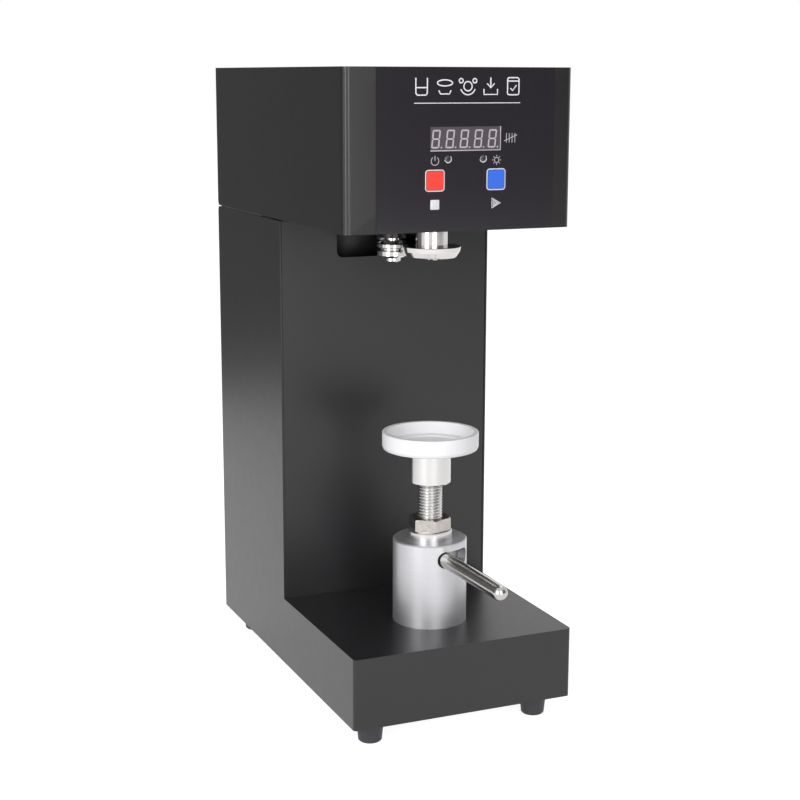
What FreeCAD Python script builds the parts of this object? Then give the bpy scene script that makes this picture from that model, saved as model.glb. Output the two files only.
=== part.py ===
import FreeCAD, Part
import math
import os
import re
import Sketcher

# Desktop can seamer: a folded sheet-metal base and column carry a head with a driven
# chuck, two seaming rolls on one rocker lever, and a hand-lifted can tray below it.
# Millimetres. X is to the right, Y to the back, Z up from the floor. Every size in Y
# is measured from the spindle axis; the last placement shifts it to the origin, which
# lies on the floor below the middle of the overall length.

SIZES = {
    # enclosure
    "case_wide": 188, "case_sheet": 1.5, "seam_gap": 0.2, "shadow_gap": 1,
    "base_reach": 69, "head_reach": 51.5, "panel_back": 91, "axis_back": 259,
    "base_tall": 58, "column_tall": 320, "head_tall": 121,
    "base_corner": 3, "head_corner": 5.5, "bend_round": 4, "bend_edge": 1.6,
    "foot_tall": 18, "foot_rad": 11, "foot_tip_rad": 9.4, "foot_inset": 22, "foot_round": 1.2,
    "stud_rad": 2.5, "stud_deep": 9, "stud_nut_rad": 4.6, "stud_nut_tall": 4,
    "base_plate_thick": 2, "base_plate_drop": 0.6,
    "flange_wide": 11, "flange_end": 12, "rear_inset": 3,
    "cutout_half": 44, "cutout_tall": 31.6, "cutout_round": 5, "panel_sink": 0.3,
    "panel_skirt": 14, "panel_fold": 12,
    "top_plate_thick": 3, "top_plate_clear": 3.5,
    "louvre_half": 60, "louvre_tall": 4, "louvre_pitch": 14, "louvre_count": 7, "louvre_low": 230,
    "cover_screw_rad": 2, "cover_screw_long": 4.5, "cover_head_rad": 3.6, "cover_head_tall": 1.6,
    # control panel
    "overlay_left": 68.6, "overlay_right": 77.8, "overlay_thick": 0.6, "overlay_margin": 0.4,
    "window_left": 25.5, "window_right": 33, "window_low": 59.5, "window_tall": 18.3,
    "lamp_rad": 2.5, "lamp_low": 54, "power_lamp_x": -10.8, "work_lamp_x": 18.2, "lamp_proud": 0.8,
    "lamp_flange": 3.1,
    "key_wide": 13.6, "key_tall": 14, "key_low": 38.2, "stop_key_x": -21.4, "start_key_x": 29.2,
    "key_proud": 0.7, "key_gap": 0.25, "key_round": 1.6, "key_travel": 0.5, "key_lip": 0.9,
    "key_back": 1.6,
    "board_gap": 4.5, "board_thick": 1.6, "board_half": 62, "board_low": 28, "board_tall": 62,
    "standoff_rad": 3, "standoff_inset": 6, "chip_thick": 2,
    # head structure and spindle
    "head_plate_thick": 8, "head_plate_half": 80, "head_plate_front": 40, "head_plate_back": 165,
    "plate_bolt_rad": 3, "plate_bolt_x": 62, "plate_bolt_front": -25, "plate_bolt_back": 155,
    "plate_bolt_head": 5, "plate_bolt_tall": 5,
    "housing_rad": 31, "housing_flange": 40, "housing_flange_tall": 6, "housing_tall": 39.5,
    "bearing_rad": 26, "bearing_tall": 15, "bearing_lip": 23, "bearing_face": 0.3,
    "run_fit": 0.05, "slip_fit": 0.05,
    "spindle_rad": 12.5, "spindle_collar": 15.5, "spindle_top": 65, "spindle_drop": 15.9,
    "chuck_rad": 23.1, "chuck_tip_rad": 19.8, "chuck_tall": 8.6, "chuck_rim": 4.1, "chuck_step": 0.8, "chuck_lip": 1.2,
    "chuck_dish_rad": 13.5, "chuck_dish": 2.4,
    "chuck_screw_rad": 4, "chuck_screw_long": 26, "chuck_head_rad": 7, "chuck_head_tall": 3,
    "chuck_hex": 3, "chuck_hex_deep": 1.6,
    # belt drive
    "pulley_low": 43, "pulley_tall": 18, "pulley_flange_tall": 1.5, "pulley_flange": 2.5,
    "belt_wide": 12, "belt_thick": 2, "belt_gap": 0.25,
    "spindle_pulley_rad": 34, "motor_pulley_rad": 17, "pulley_web": 6, "pulley_hub": 19,
    "motor_clear": 6.5, "motor_rad": 45, "motor_tall": 140, "motor_bell": 22, "motor_band": 2,
    "motor_shaft_rad": 7, "motor_shaft_deep": 30, "motor_boss_rad": 16,
    # roll lever and rolls
    "lever_back": 92, "lever_low": 12, "lever_thick": 10, "lever_boss": 15, "lever_neck": 8,
    "post_rad": 8, "post_flange": 14, "post_flange_tall": 4, "post_stub": 5, "post_nut_half": 8.5,
    "post_nut_tall": 6, "post_washer": 12.5, "post_washer_tall": 1.3,
    "roll_x": 17, "roll_back": 37.5, "roll_rad": 13, "roll_low": 28, "roll_tall": 14,
    "roll_groove": 2.2, "roll_groove_low": 7, "roll_core": 9, "roll_boss": 10.5,
    "roll_pin_rad": 4, "roll_pin_head": 6.5, "roll_pin_head_tall": 3, "roll_collar": 6,
    "gear_module": 1.5, "pinion_teeth": 10, "sector_teeth": 40, "sector_half_deg": 25,
    "gear_backlash": 0.35, "pinion_shaft_rad": 3, "pinion_shaft_up": 16,
    "gearbox_rad": 18, "gearbox_tall": 24, "lever_motor_rad": 16, "lever_motor_tall": 38,
    # lift unit
    "lift_rad": 30, "lift_tall": 68.8, "lift_chamfer": 1, "lift_lid": 3.5,
    "sleeve_rad": 22.8, "sleeve_wall": 4.6, "sleeve_gap": 0.3,
    "slot_tall": 13.4, "slot_high": 57, "swing_deg": 36, "rest_deg": 1.5, "slot_spare_deg": 1,
    "handle_rad": 6, "handle_reach": 125.7, "handle_stub": 5,
    "piston_rad": 17.9, "piston_top": 75.7, "piston_low": 8, "piston_chamfer": 0.8,
    "guide_pin_rad": 3, "guide_pin_high": 26, "guide_pin_reach": 25.5, "guide_pin_bite": 6,
    "lift_stroke": 8, "cam_gap": 0.45, "groove_deep": 26, "groove_gap": 0.15,
    "lift_screw_rad": 2.5, "lift_screw_ring": 26.5, "lift_screw_long": 22, "lift_screw_head": 4.2,
    "lift_screw_head_tall": 4, "mount_plate_half": 45, "mount_plate_thick": 6,
    "screw_rad": 10, "screw_show": 38.6, "screw_hidden": 38, "screw_stub": 5.95, "screw_stub_tall": 10,
    "nut_flats": 30, "nut_tall": 10.3, "nut_turn_deg": 23, "nut_bevel": 1.4,
    "hub_rad": 16.5, "hub_tall": 27.5, "hub_chamfer": 0.8, "hub_gap": 0.3,
    "tray_bearing_rad": 14, "tray_bearing_tall": 8, "hub_relief": 7.5,
    "tray_rad": 38.75, "tray_tall": 14.5, "tray_bore": 35, "tray_floor": 5, "tray_well": 27,
    "tray_well_deep": 1.2, "tray_round": 3, "tray_edge": 0.5,
    "tray_screw_rad": 3, "tray_screw_long": 14, "tray_screw_head": 6, "tray_screw_head_tall": 2.4,
    # electrics
    "inlet_inset": 46, "inlet_high": 46, "inlet_flange_half": 25, "inlet_flange_tall": 12.5,
    "inlet_flange_thick": 2, "inlet_half": 13.7, "inlet_tall": 9.8, "inlet_deep": 24,
    "inlet_well_half": 12, "inlet_well_tall": 8, "inlet_well_deep": 15,
    "inlet_pin_wide": 4, "inlet_pin_thick": 2, "inlet_pin_gap": 7,
    "switch_beside": 56, "switch_half": 7.6, "switch_tall": 10.6, "switch_deep": 16, "switch_bezel": 1.2,
    "switch_bezel_edge": 1.6, "rocker_half": 5.2, "rocker_tall": 7.5, "rocker_pivot": 5,
    "rocker_face": 5.5, "rocker_dip": 1.3, "rocker_foot": 2, "rocker_side": 0.3, "rocker_end": 1.1,
    "rocker_tilt_deg": 8, "rocker_pin_rad": 1.2, "rocker_pin_long": 0.9,
    "controller_half": 45, "controller_front": 110, "controller_back": 215, "controller_tall": 40,
    "controller_fin": 1.5, "controller_fin_pitch": 6, "controller_fins": 14, "controller_fin_tall": 6,
}

doc = FreeCAD.newDocument("can_seamer")
sheet = doc.addObject("Spreadsheet::Sheet", "Sizes")
for row, (alias, size) in enumerate(SIZES.items(), start=1):
    sheet.set(f"A{row}", alias)
    sheet.set(f"B{row}", str(size))
    sheet.setAlias(f"B{row}", alias)
doc.recompute()

# Heights and lengths worked out from the sizes.
AXIS_Y = "((handle_reach - axis_back - cover_head_tall) / 2)"
SHELL_LOW = "(foot_tall + base_plate_drop)"
PLATE_TOP = "(foot_tall + base_plate_thick)"
BASE_TOP = "(foot_tall + base_tall)"
COLUMN_TOP = f"({BASE_TOP} + column_tall)"
HEAD_LOW = f"({COLUMN_TOP} + shadow_gap)"
FLOOR_TOP = f"({HEAD_LOW} + case_sheet)"
DECK_TOP = f"({FLOOR_TOP} + head_plate_thick)"
INNER_HALF = "(case_wide / 2 - case_sheet)"
PANEL_HALF = f"({INNER_HALF} - seam_gap)"
REAR_FACE = "(axis_back - rear_inset)"
REAR_INNER = f"({REAR_FACE} - case_sheet)"
HEAD_INNER = "(-head_reach + case_sheet)"
BOARD_Y = f"({HEAD_INNER} + board_gap)"
LEVER_LOW = f"({HEAD_LOW} - lever_low)"
PINION_BACK = "(lever_back + gear_module * (pinion_teeth + sector_teeth) / 2)"
PINION_END = f"({PINION_BACK} + gear_module * (pinion_teeth / 2 + 1))"
MOTOR_BACK = f"({PINION_END} + motor_clear + motor_rad)"
INLET_X = "(inlet_inset - case_wide / 2)"
SWITCH_X = f"({INLET_X} + switch_beside)"
TRAY_LOW = f"({BASE_TOP} + piston_top + screw_show + hub_gap + hub_tall)"

NODES = []


def link(text):
    """The same expression with every size named through the sheet."""
    return re.sub(r"[a-z_]{3,}", lambda word: "Sizes." + word[0] if word[0] in SIZES else word[0], text)


def number(text):
    """Present value of an expression in the sheet's sizes."""
    return float(sheet.evalExpression(text))


def bind(thing, name, text):
    thing.setExpression(name, link(text))


def seat(thing, x="0", y="0", z="0"):
    """Places a finished sub-part; y counts from the spindle axis."""
    bind(thing, "Placement.Base.x", x)
    bind(thing, "Placement.Base.y", f"{AXIS_Y} + {y}")
    bind(thing, "Placement.Base.z", z)


def node(thing, label, x="0", y="0", z="0"):
    """Names a sub-part, seats it and puts it on the list of written files."""
    thing.Label = label
    seat(thing, x, y, z)
    NODES.append(thing)
    return thing


def body(name):
    return doc.addObject("PartDesign::Body", name)


def sketch(owner, role, lift="0"):
    made = owner.newObject("Sketcher::SketchObject", owner.Name + "_sketch")
    plane = [item for item in owner.Origin.OriginFeatures if item.Role == role][0]
    made.AttachmentSupport = [(plane, "")]
    made.MapMode = "FlatFace"
    bind(made, "AttachmentOffset.Base.z", lift)
    return made


def outline(owner, role, points, lift="0"):
    """A closed straight-sided outline, each corner tied to the sizes."""
    return add_outline(sketch(owner, role, lift), points)


def add_outline(made, points):
    first = made.GeometryCount
    corners = [FreeCAD.Vector(number(across), number(along), 0) for across, along in points]
    for index, corner in enumerate(corners):
        made.addGeometry(Part.LineSegment(corner, corners[(index + 1) % len(corners)]), False)
    for index in range(len(corners)):
        after = first + (index + 1) % len(corners)
        made.addConstraint(Sketcher.Constraint("Coincident", first + index, 2, after, 1))
    for index, (across, along) in enumerate(points):
        for kind, text, now in (("DistanceX", across, corners[index].x), ("DistanceY", along, corners[index].y)):
            place = made.addConstraint(Sketcher.Constraint(kind, -1, 1, first + index, 1, now))
            made.setExpression(f"Constraints[{place}]", link(text))
    return made


def rectangle(left, right, low, high):
    return [(left, low), (right, low), (right, high), (left, high)]


def circles(owner, role, rounds, lift="0"):
    return add_circles(sketch(owner, role, lift), rounds)


def add_circles(made, rounds):
    for across, along, radius in rounds:
        centre = FreeCAD.Vector(number(across), number(along), 0)
        item = made.addGeometry(Part.Circle(centre, FreeCAD.Vector(0, 0, 1), number(radius)), False)
        ties = (("Radius", (item, number(radius)), radius),
                ("DistanceX", (-1, 1, item, 3, centre.x), across),
                ("DistanceY", (-1, 1, item, 3, centre.y), along))
        for kind, data, text in ties:
            place = made.addConstraint(Sketcher.Constraint(kind, *data))
            made.setExpression(f"Constraints[{place}]", link(text))
    return made


def pad(owner, profile, length, middle=False, back=False):
    made = owner.newObject("PartDesign::Pad", owner.Name + "_pad")
    made.Profile = profile
    made.Midplane = middle
    made.Reversed = back
    bind(made, "Length", length)
    doc.recompute()
    return made


def pocket(owner, profile, length=None, middle=False, back=False):
    """Cuts the profile to a depth, or through everything both ways."""
    before = owner.Shape.Volume
    made = owner.newObject("PartDesign::Pocket", owner.Name + "_pocket")
    made.Profile = profile
    made.Midplane = middle or length is None
    made.Reversed = back
    if length is None:
        made.Type = "ThroughAll"
    else:
        bind(made, "Length", length)
    doc.recompute()
    if owner.Shape.Volume >= before:
        raise RuntimeError("a pocket in " + owner.Name + " cut nothing")
    return made


def turned(name, profile):
    """A body of revolution about its own Z axis, from (radius, height) corners."""
    made = body(name)
    made_sketch = outline(made, "XZ_Plane", profile)
    spin = made.newObject("PartDesign::Revolution", name + "_turn")
    spin.Profile = made_sketch
    spin.ReferenceAxis = (made_sketch, ["V_Axis"])
    spin.Angle = 360
    doc.recompute()
    return made


def dress(owner, kind, size, test):
    """A fillet or chamfer on the edges that pass the test."""
    base = owner.Tip
    picked = [f"Edge{index}" for index, edge in enumerate(base.Shape.Edges, start=1) if test(edge)]
    made = owner.newObject("PartDesign::" + kind, owner.Name + "_" + kind.lower())
    made.Base = (base, picked)
    bind(made, "Radius" if kind == "Fillet" else "Size", size)
    doc.recompute()
    return made


def along(edge, way):
    """Whether an edge is straight and runs along one axis."""
    if edge.Curve.TypeId != "Part::GeomLine":
        return False
    return abs(getattr(edge.tangentAt(edge.FirstParameter), way)) > 0.999


def at(edge, **places):
    """Whether an edge's middle lies at the given coordinates."""
    middle = edge.CenterOfMass
    return all(abs(getattr(middle, way) - number(text)) < 0.01 for way, text in places.items())


def cylinder(name, radius, length, x="0", y="0", z="0", axis=None, deg="0"):
    """A plain cylinder primitive; with an axis it is turned by deg about it."""
    made = doc.addObject("Part::Cylinder", name)
    bind(made, "Radius", radius)
    bind(made, "Height", length)
    if axis:
        made.Placement = FreeCAD.Placement(FreeCAD.Vector(), FreeCAD.Rotation(FreeCAD.Vector(*axis), 90))
        bind(made, "Placement.Rotation.Angle", deg)
    bind(made, "Placement.Base.x", x)
    bind(made, "Placement.Base.y", y)
    bind(made, "Placement.Base.z", z)
    return made


def box(name, wide, deep, tall, x, y, z):
    made = doc.addObject("Part::Box", name)
    for prop, text in (("Length", wide), ("Width", deep), ("Height", tall)):
        bind(made, prop, text)
    for way, text in (("x", x), ("y", y), ("z", z)):
        bind(made, "Placement.Base." + way, text)
    return made


def fuse(name, shapes):
    made = doc.addObject("Part::MultiFuse", name)
    made.Shapes = shapes
    made.Refine = True
    return made


def cut(name, base, tool):
    made = doc.addObject("Part::Cut", name)
    made.Base = base
    made.Tool = tool
    made.Refine = True
    return made


def group(name, shapes):
    made = doc.addObject("Part::Compound", name)
    made.Links = shapes
    return made


def screws(name, places, shank, length, head, tall, axis=(1, 0, 0), deg="0"):
    """Like screws as one node: heads up from each place, shanks down, all turned the same way."""
    made = []
    for count, (x, y, z) in enumerate(places):
        shaft = cylinder(f"{name}_shank{count}", shank, f"{length} + {tall} / 2", z=f"-{length}")
        cap = cylinder(f"{name}_head{count}", head, tall)
        one = fuse(f"{name}_one{count}", [shaft, cap])
        one.Placement = FreeCAD.Placement(FreeCAD.Vector(), FreeCAD.Rotation(FreeCAD.Vector(*axis), 90))
        bind(one, "Placement.Rotation.Angle", deg)
        for way, text in (("x", x), ("y", y), ("z", z)):
            bind(one, "Placement.Base." + way, text)
        made.append(one)
    return group(name, made)


def corners(x, front, back):
    return [("-" + x, front), (x, front), ("-" + x, back), (x, back)]


# ---- feet and base plate

FOOT_X = "(case_wide / 2 - foot_inset)"
FOOT_FRONT = "(foot_inset - base_reach)"
FOOT_BACK = "(axis_back - foot_inset)"
FOOT_NAMES = ["foot_front_left", "foot_front_right", "foot_rear_left", "foot_rear_right"]


def make_feet():
    for name, (x, y) in zip(FOOT_NAMES, corners(FOOT_X, FOOT_FRONT, FOOT_BACK)):
        foot = turned(name, [
            ("0", "0"), ("foot_tip_rad - foot_round", "0"), ("foot_tip_rad", "foot_round"),
            ("foot_rad", "foot_tall"), ("stud_rad", "foot_tall"),
            ("stud_rad", "foot_tall - stud_deep"), ("0", "foot_tall - stud_deep")])
        node(foot, name, x, y)


def make_foot_studs():
    places = [(x, y, "0") for x, y in corners(FOOT_X, FOOT_FRONT, FOOT_BACK)]
    reach = "(stud_deep + base_plate_thick)"
    studs = screws("foot_studs", places, "stud_rad", reach, "stud_nut_rad", "stud_nut_tall")
    node(studs, "foot_studs", z=PLATE_TOP)


def make_base_plate():
    plate = body("base_plate")
    pad(plate, outline(plate, "XY_Plane", rectangle(
        f"-{INNER_HALF}", INNER_HALF, "case_sheet - base_reach", REAR_FACE)), "base_plate_thick")
    holes = [(x, y, "stud_rad") for x, y in corners(FOOT_X, FOOT_FRONT, FOOT_BACK)]
    pocket(plate, circles(plate, "XY_Plane", holes))
    front = "(case_sheet - base_reach)"
    dress(plate, "Fillet", "base_corner - case_sheet", lambda edge: along(edge, "z") and at(edge, y=front))
    node(plate, "base_plate", z="foot_tall")


# ---- base and column sheet metal

def lift_screw_places():
    ring = "lift_screw_ring * sqrt(0.5)"
    return corners(f"({ring})", f"-({ring})", f"({ring})")


def make_body_shell():
    """Base and column sides in one L-shaped cover, open below, behind and at the column front."""
    shell = body("body_shell")
    pad(shell, outline(shell, "YZ_Plane", [
        ("-base_reach", SHELL_LOW), ("axis_back", SHELL_LOW), ("axis_back", COLUMN_TOP),
        ("panel_back", COLUMN_TOP), ("panel_back", BASE_TOP), ("-base_reach", BASE_TOP)]),
        "case_wide", middle=True)
    dress(shell, "Fillet", "base_corner", lambda edge: along(edge, "z") and at(edge, y="-base_reach"))
    dress(shell, "Fillet", "bend_round",
          lambda edge: along(edge, "x") and at(edge, y="axis_back", z=COLUMN_TOP))
    inner_front = "(case_sheet - base_reach)"
    inner_top = f"({BASE_TOP} - case_sheet)"
    pocket(shell, outline(shell, "YZ_Plane", [
        (inner_front, f"{SHELL_LOW} - 1"), ("axis_back + 1", f"{SHELL_LOW} - 1"),
        ("axis_back + 1", f"{COLUMN_TOP} + 1"), ("panel_back", f"{COLUMN_TOP} + 1"),
        ("panel_back", inner_top), (inner_front, inner_top)]), f"2 * {INNER_HALF}", middle=True)
    for side in ("-", ""):
        flange = outline(shell, "XY_Plane", rectangle(
            f"{side}{INNER_HALF}", f"{side}({INNER_HALF} - flange_wide)",
            f"{REAR_INNER} - case_sheet", REAR_INNER), f"{PLATE_TOP} + flange_end")
        pad(shell, flange, f"column_tall + base_tall - base_plate_thick - 2 * flange_end")
    holes = [(x, y, "lift_screw_rad") for x, y in lift_screw_places()]
    pocket(shell, circles(shell, "XY_Plane", holes, f"{BASE_TOP} - case_sheet"), "case_sheet", back=True)
    screw_holes = sketch(shell, "XZ_Plane", f"-{REAR_INNER}")
    add_circles(screw_holes, [(x, z, "cover_screw_rad") for x, z in rear_screw_places()])
    pocket(shell, screw_holes, "case_sheet", back=True)
    node(shell, "body_shell")


def rear_screw_places():
    across = f"({INNER_HALF} - flange_wide / 2)"
    low = f"({PLATE_TOP} + 3 * flange_end)"
    high = f"({COLUMN_TOP} - 3 * flange_end)"
    middle = f"(({low} + {high}) / 2)"
    return [(side + across, z) for side in ("-", "") for z in (low, middle, high)]


def make_column_front_panel():
    panel = body("column_front_panel")
    low = f"({BASE_TOP} - panel_skirt)"
    high = f"({COLUMN_TOP} - panel_sink)"
    cut_low = f"({COLUMN_TOP} - cutout_tall)"
    face = "(panel_back + panel_sink)"
    pad(panel, outline(panel, "XZ_Plane", [
        (f"-{PANEL_HALF}", low), (PANEL_HALF, low), (PANEL_HALF, high), ("cutout_half", high),
        ("cutout_half", cut_low), ("-cutout_half", cut_low), ("-cutout_half", high),
        (f"-{PANEL_HALF}", high)], f"-{face}"), "case_sheet", back=True)
    dress(panel, "Fillet", "cutout_round", lambda edge: along(edge, "y") and at(edge, z=cut_low))
    for side in ("-", ""):
        fold = outline(panel, "XY_Plane", rectangle(
            f"{side}{PANEL_HALF}", f"{side}({PANEL_HALF} - case_sheet)",
            face, f"{face} + panel_fold"), low)
        pad(panel, fold, f"{high} - {low}")
    node(panel, "column_front_panel")


def make_column_top_plate():
    """Plate across the column that the head stands on, with the motor hung below it."""
    plate = body("column_top_plate")
    pad(plate, outline(plate, "XY_Plane", rectangle(
        f"-{INNER_HALF}", INNER_HALF, f"{PINION_END} + top_plate_clear", REAR_INNER)), "top_plate_thick")
    pocket(plate, circles(plate, "XY_Plane", [
        ("0", MOTOR_BACK, "motor_boss_rad + run_fit"),
        ("-plate_bolt_x", "plate_bolt_back", "plate_bolt_rad"),
        ("plate_bolt_x", "plate_bolt_back", "plate_bolt_rad")]))
    node(plate, "column_top_plate", z=f"{HEAD_LOW} - top_plate_thick")


def make_rear_panel():
    panel = body("rear_panel")
    face = sketch(panel, "XZ_Plane", f"-{REAR_FACE}")
    add_outline(face, rectangle(f"-{PANEL_HALF}", PANEL_HALF, f"{PLATE_TOP} + seam_gap",
                                f"{COLUMN_TOP} - bend_round"))
    pad(panel, face, "case_sheet")
    low = "(inlet_high + foot_tall - inlet_tall)"
    cuts = sketch(panel, "XZ_Plane", f"-{REAR_FACE}")
    add_outline(cuts, rectangle(f"{INLET_X} - inlet_half", f"{INLET_X} + inlet_half",
                                low, "inlet_high + foot_tall + inlet_tall"))
    add_outline(cuts, rectangle(f"{SWITCH_X} - switch_half", f"{SWITCH_X} + switch_half",
                                "inlet_high + foot_tall - switch_tall", "inlet_high + foot_tall + switch_tall"))
    for count in range(int(number("louvre_count"))):
        slot_low = f"({BASE_TOP} + louvre_low + {count} * louvre_pitch - louvre_count * louvre_pitch / 2)"
        add_outline(cuts, rectangle("-louvre_half", "louvre_half", slot_low, f"{slot_low} + louvre_tall"))
    add_circles(cuts, [(x, z, "cover_screw_rad") for x, z in rear_screw_places()])
    pocket(panel, cuts)
    node(panel, "rear_panel")


# ---- head sheet metal

def head_screw_places():
    across = f"({INNER_HALF} - flange_wide / 2)"
    low = f"({HEAD_LOW} + 2 * flange_end)"
    high = f"({HEAD_LOW} + head_tall - 2 * flange_end)"
    return [(side + across, z) for side in ("-", "") for z in (low, high)]


def make_head_cover():
    """Front, sides and top of the head in one wrapped sheet, open below and behind."""
    cover = body("head_cover")
    pad(cover, outline(cover, "XY_Plane", rectangle(
        "-case_wide / 2", "case_wide / 2", "-head_reach", "axis_back")), "head_tall")
    dress(cover, "Fillet", "head_corner", lambda edge: along(edge, "z") and at(edge, y="-head_reach"))
    dress(cover, "Fillet", "bend_round", lambda edge: along(edge, "x") and at(edge, y="axis_back", z="0"))
    pocket(cover, outline(cover, "YZ_Plane", rectangle(
        HEAD_INNER, "axis_back + 1", "-1", "head_tall - case_sheet")), f"2 * {INNER_HALF}", middle=True)
    inner = f"({INNER_HALF} - flange_wide)"
    for side in ("-", ""):
        flange = outline(cover, "XY_Plane", rectangle(
            f"{side}{INNER_HALF}", f"{side}{inner}",
            "axis_back - 2 * case_sheet", "axis_back - case_sheet"), "flange_end")
        pad(cover, flange, "head_tall - 2 * flange_end")
    openings = sketch(cover, "XZ_Plane", "head_reach")
    add_panel_openings(openings)
    pocket(cover, openings, "case_sheet")
    screw_holes = sketch(cover, "XZ_Plane", "-axis_back")
    add_circles(screw_holes, [(x, f"{z} - {HEAD_LOW}", "cover_screw_rad") for x, z in head_screw_places()])
    pocket(cover, screw_holes, "3 * case_sheet", back=True)
    node(cover, "head_cover", z=HEAD_LOW)


def add_panel_openings(made):
    """Window, lamp and key openings through the head front and its overlay."""
    add_outline(made, rectangle("-window_left", "window_right", "window_low", "window_low + window_tall"))
    add_circles(made, [("power_lamp_x", "lamp_low", "lamp_rad"), ("work_lamp_x", "lamp_low", "lamp_rad")])
    half = "(key_wide / 2 + key_gap)"
    tall = "(key_tall / 2 + key_gap)"
    for x in ("stop_key_x", "start_key_x"):
        add_outline(made, rectangle(f"{x} - {half}", f"{x} + {half}", f"key_low - {tall}", f"key_low + {tall}"))


def make_head_tray():
    """Head floor and rear wall in one bent sheet between the cover's sides."""
    tray = body("head_tray")
    pad(tray, outline(tray, "YZ_Plane", [
        (HEAD_INNER, "0"), ("axis_back", "0"), ("axis_back", "head_tall - case_sheet"),
        ("axis_back - case_sheet", "head_tall - case_sheet"), ("axis_back - case_sheet", "case_sheet"),
        (HEAD_INNER, "case_sheet")]), f"2 * {INNER_HALF}", middle=True)
    dress(tray, "Fillet", "bend_round - case_sheet",
          lambda edge: along(edge, "x") and at(edge, y="axis_back - case_sheet", z="case_sheet"))
    dress(tray, "Fillet", "bend_round", lambda edge: along(edge, "x") and at(edge, y="axis_back", z="0"))
    holes = sketch(tray, "XY_Plane")
    add_circles(holes, [
        ("0", "0", "spindle_rad + 4"), ("0", "lever_back", "post_rad + run_fit"),
        ("0", PINION_BACK, "pinion_shaft_rad + 1"), ("0", MOTOR_BACK, "motor_boss_rad + run_fit")])
    add_circles(holes, [(x, y, "plate_bolt_rad") for x, y in plate_bolt_places()])
    pocket(tray, holes, "2 * case_sheet", middle=True)
    screw_holes = sketch(tray, "XZ_Plane", "-axis_back")
    add_circles(screw_holes, [(x, f"{z} - {HEAD_LOW}", "cover_screw_rad") for x, z in head_screw_places()])
    pocket(tray, screw_holes, "2 * case_sheet", middle=True)
    node(tray, "head_tray", z=HEAD_LOW)


def make_cover_screws():
    rear = [(x, REAR_FACE, z) for x, z in rear_screw_places()]
    top = [(x, "axis_back", z) for x, z in head_screw_places()]
    node(screws("cover_screws", rear + top, "cover_screw_rad", "cover_screw_long",
                "cover_head_rad", "cover_head_tall", deg="-90"), "cover_screws")


# ---- control panel

def make_control_overlay():
    film = body("control_overlay")
    pad(film, outline(film, "XZ_Plane", rectangle(
        "-overlay_left", "overlay_right", "overlay_margin", "head_tall - overlay_margin"),
        "head_reach"), "overlay_thick")
    openings = sketch(film, "XZ_Plane", "head_reach")
    add_panel_openings(openings)
    pocket(film, openings)
    node(film, "control_overlay", z=HEAD_LOW)


def make_display_module():
    front = "(-head_reach - overlay_thick)"
    block = box("display_box", "window_left + window_right - 2 * seam_gap", f"{BOARD_Y} - {front}",
                "window_tall - 2 * seam_gap", "seam_gap - window_left", front, "window_low + seam_gap")
    node(group("display_module", [block]), "display_module", z=HEAD_LOW)


def make_lamps():
    for name, x in (("power_lamp", "power_lamp_x"), ("work_lamp", "work_lamp_x")):
        front = "(overlay_thick + lamp_proud)"
        lamp = turned(name, [
            ("0", f"-{HEAD_INNER} - head_reach - board_gap"), ("lamp_flange", "-case_sheet - board_gap"),
            ("lamp_flange", "-case_sheet"), ("lamp_rad", "-case_sheet"), ("lamp_rad", "overlay_thick"),
            ("lamp_rad * 0.85", f"overlay_thick + lamp_proud / 2"), ("lamp_rad / 2", f"{front}"),
            ("0", f"{front}")])
        lamp.Placement = FreeCAD.Placement(FreeCAD.Vector(), FreeCAD.Rotation(FreeCAD.Vector(1, 0, 0), 90))
        node(lamp, name, x, "-head_reach", f"{HEAD_LOW} + lamp_low")


def make_keys():
    for name, x in (("stop_button", "stop_key_x"), ("start_button", "start_key_x")):
        key = body(name)
        pad(key, outline(key, "XZ_Plane", rectangle(
            "-key_wide / 2", "key_wide / 2", "-key_tall / 2", "key_tall / 2"),
            "-case_sheet - key_lip"), "case_sheet + key_lip + overlay_thick + key_proud")
        dress(key, "Fillet", "key_round", lambda edge: along(edge, "y"))
        lip = sketch(key, "XZ_Plane", "-case_sheet - key_travel / 2")
        half = "(key_wide / 2 + key_lip)"
        tall = "(key_tall / 2 + key_lip)"
        add_outline(lip, rectangle(f"-{half}", half, f"-{tall}", tall))
        pad(key, lip, "key_lip", back=True)
        node(key, name, x, "-head_reach", f"{HEAD_LOW} + key_low")


def make_control_board():
    board = body("control_board")
    front = f"-{BOARD_Y}"
    pad(board, outline(board, "XZ_Plane", rectangle(
        "-board_half", "board_half", "board_low", "board_low + board_tall"), front), "board_thick", back=True)
    chips = sketch(board, "XZ_Plane", f"{front} - board_thick")
    add_outline(chips, rectangle("-board_half * 0.7", "-board_half * 0.4", "board_low + 20", "board_low + 38"))
    add_outline(chips, rectangle("board_half * 0.1", "board_half * 0.5", "board_low + 8", "board_low + 20"))
    add_outline(chips, rectangle("-board_half * 0.3", "-board_half * 0.05", "board_low + 42", "board_low + 54"))
    pad(board, chips, "chip_thick", back=True)
    switches = sketch(board, "XZ_Plane", front)
    for x in ("stop_key_x", "start_key_x"):
        add_outline(switches, rectangle(f"{x} - key_wide / 3", f"{x} + key_wide / 3",
                                        "key_low - key_tall / 3", "key_low + key_tall / 3"))
    pad(board, switches, "board_gap - key_lip - key_travel / 2 - key_travel - run_fit")
    node(board, "control_board", z=HEAD_LOW)


def make_board_standoffs():
    x = "(board_half - standoff_inset)"
    low = "(board_low + standoff_inset)"
    high = "(board_low + board_tall - standoff_inset)"
    made = [cylinder(f"standoff{count}", "standoff_rad", "board_gap", across, BOARD_Y, height,
                     (1, 0, 0), "90") for count, (across, height) in enumerate(corners(x, low, high))]
    node(group("board_standoffs", made), "board_standoffs", z=HEAD_LOW)


# ---- head structure and spindle

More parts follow.
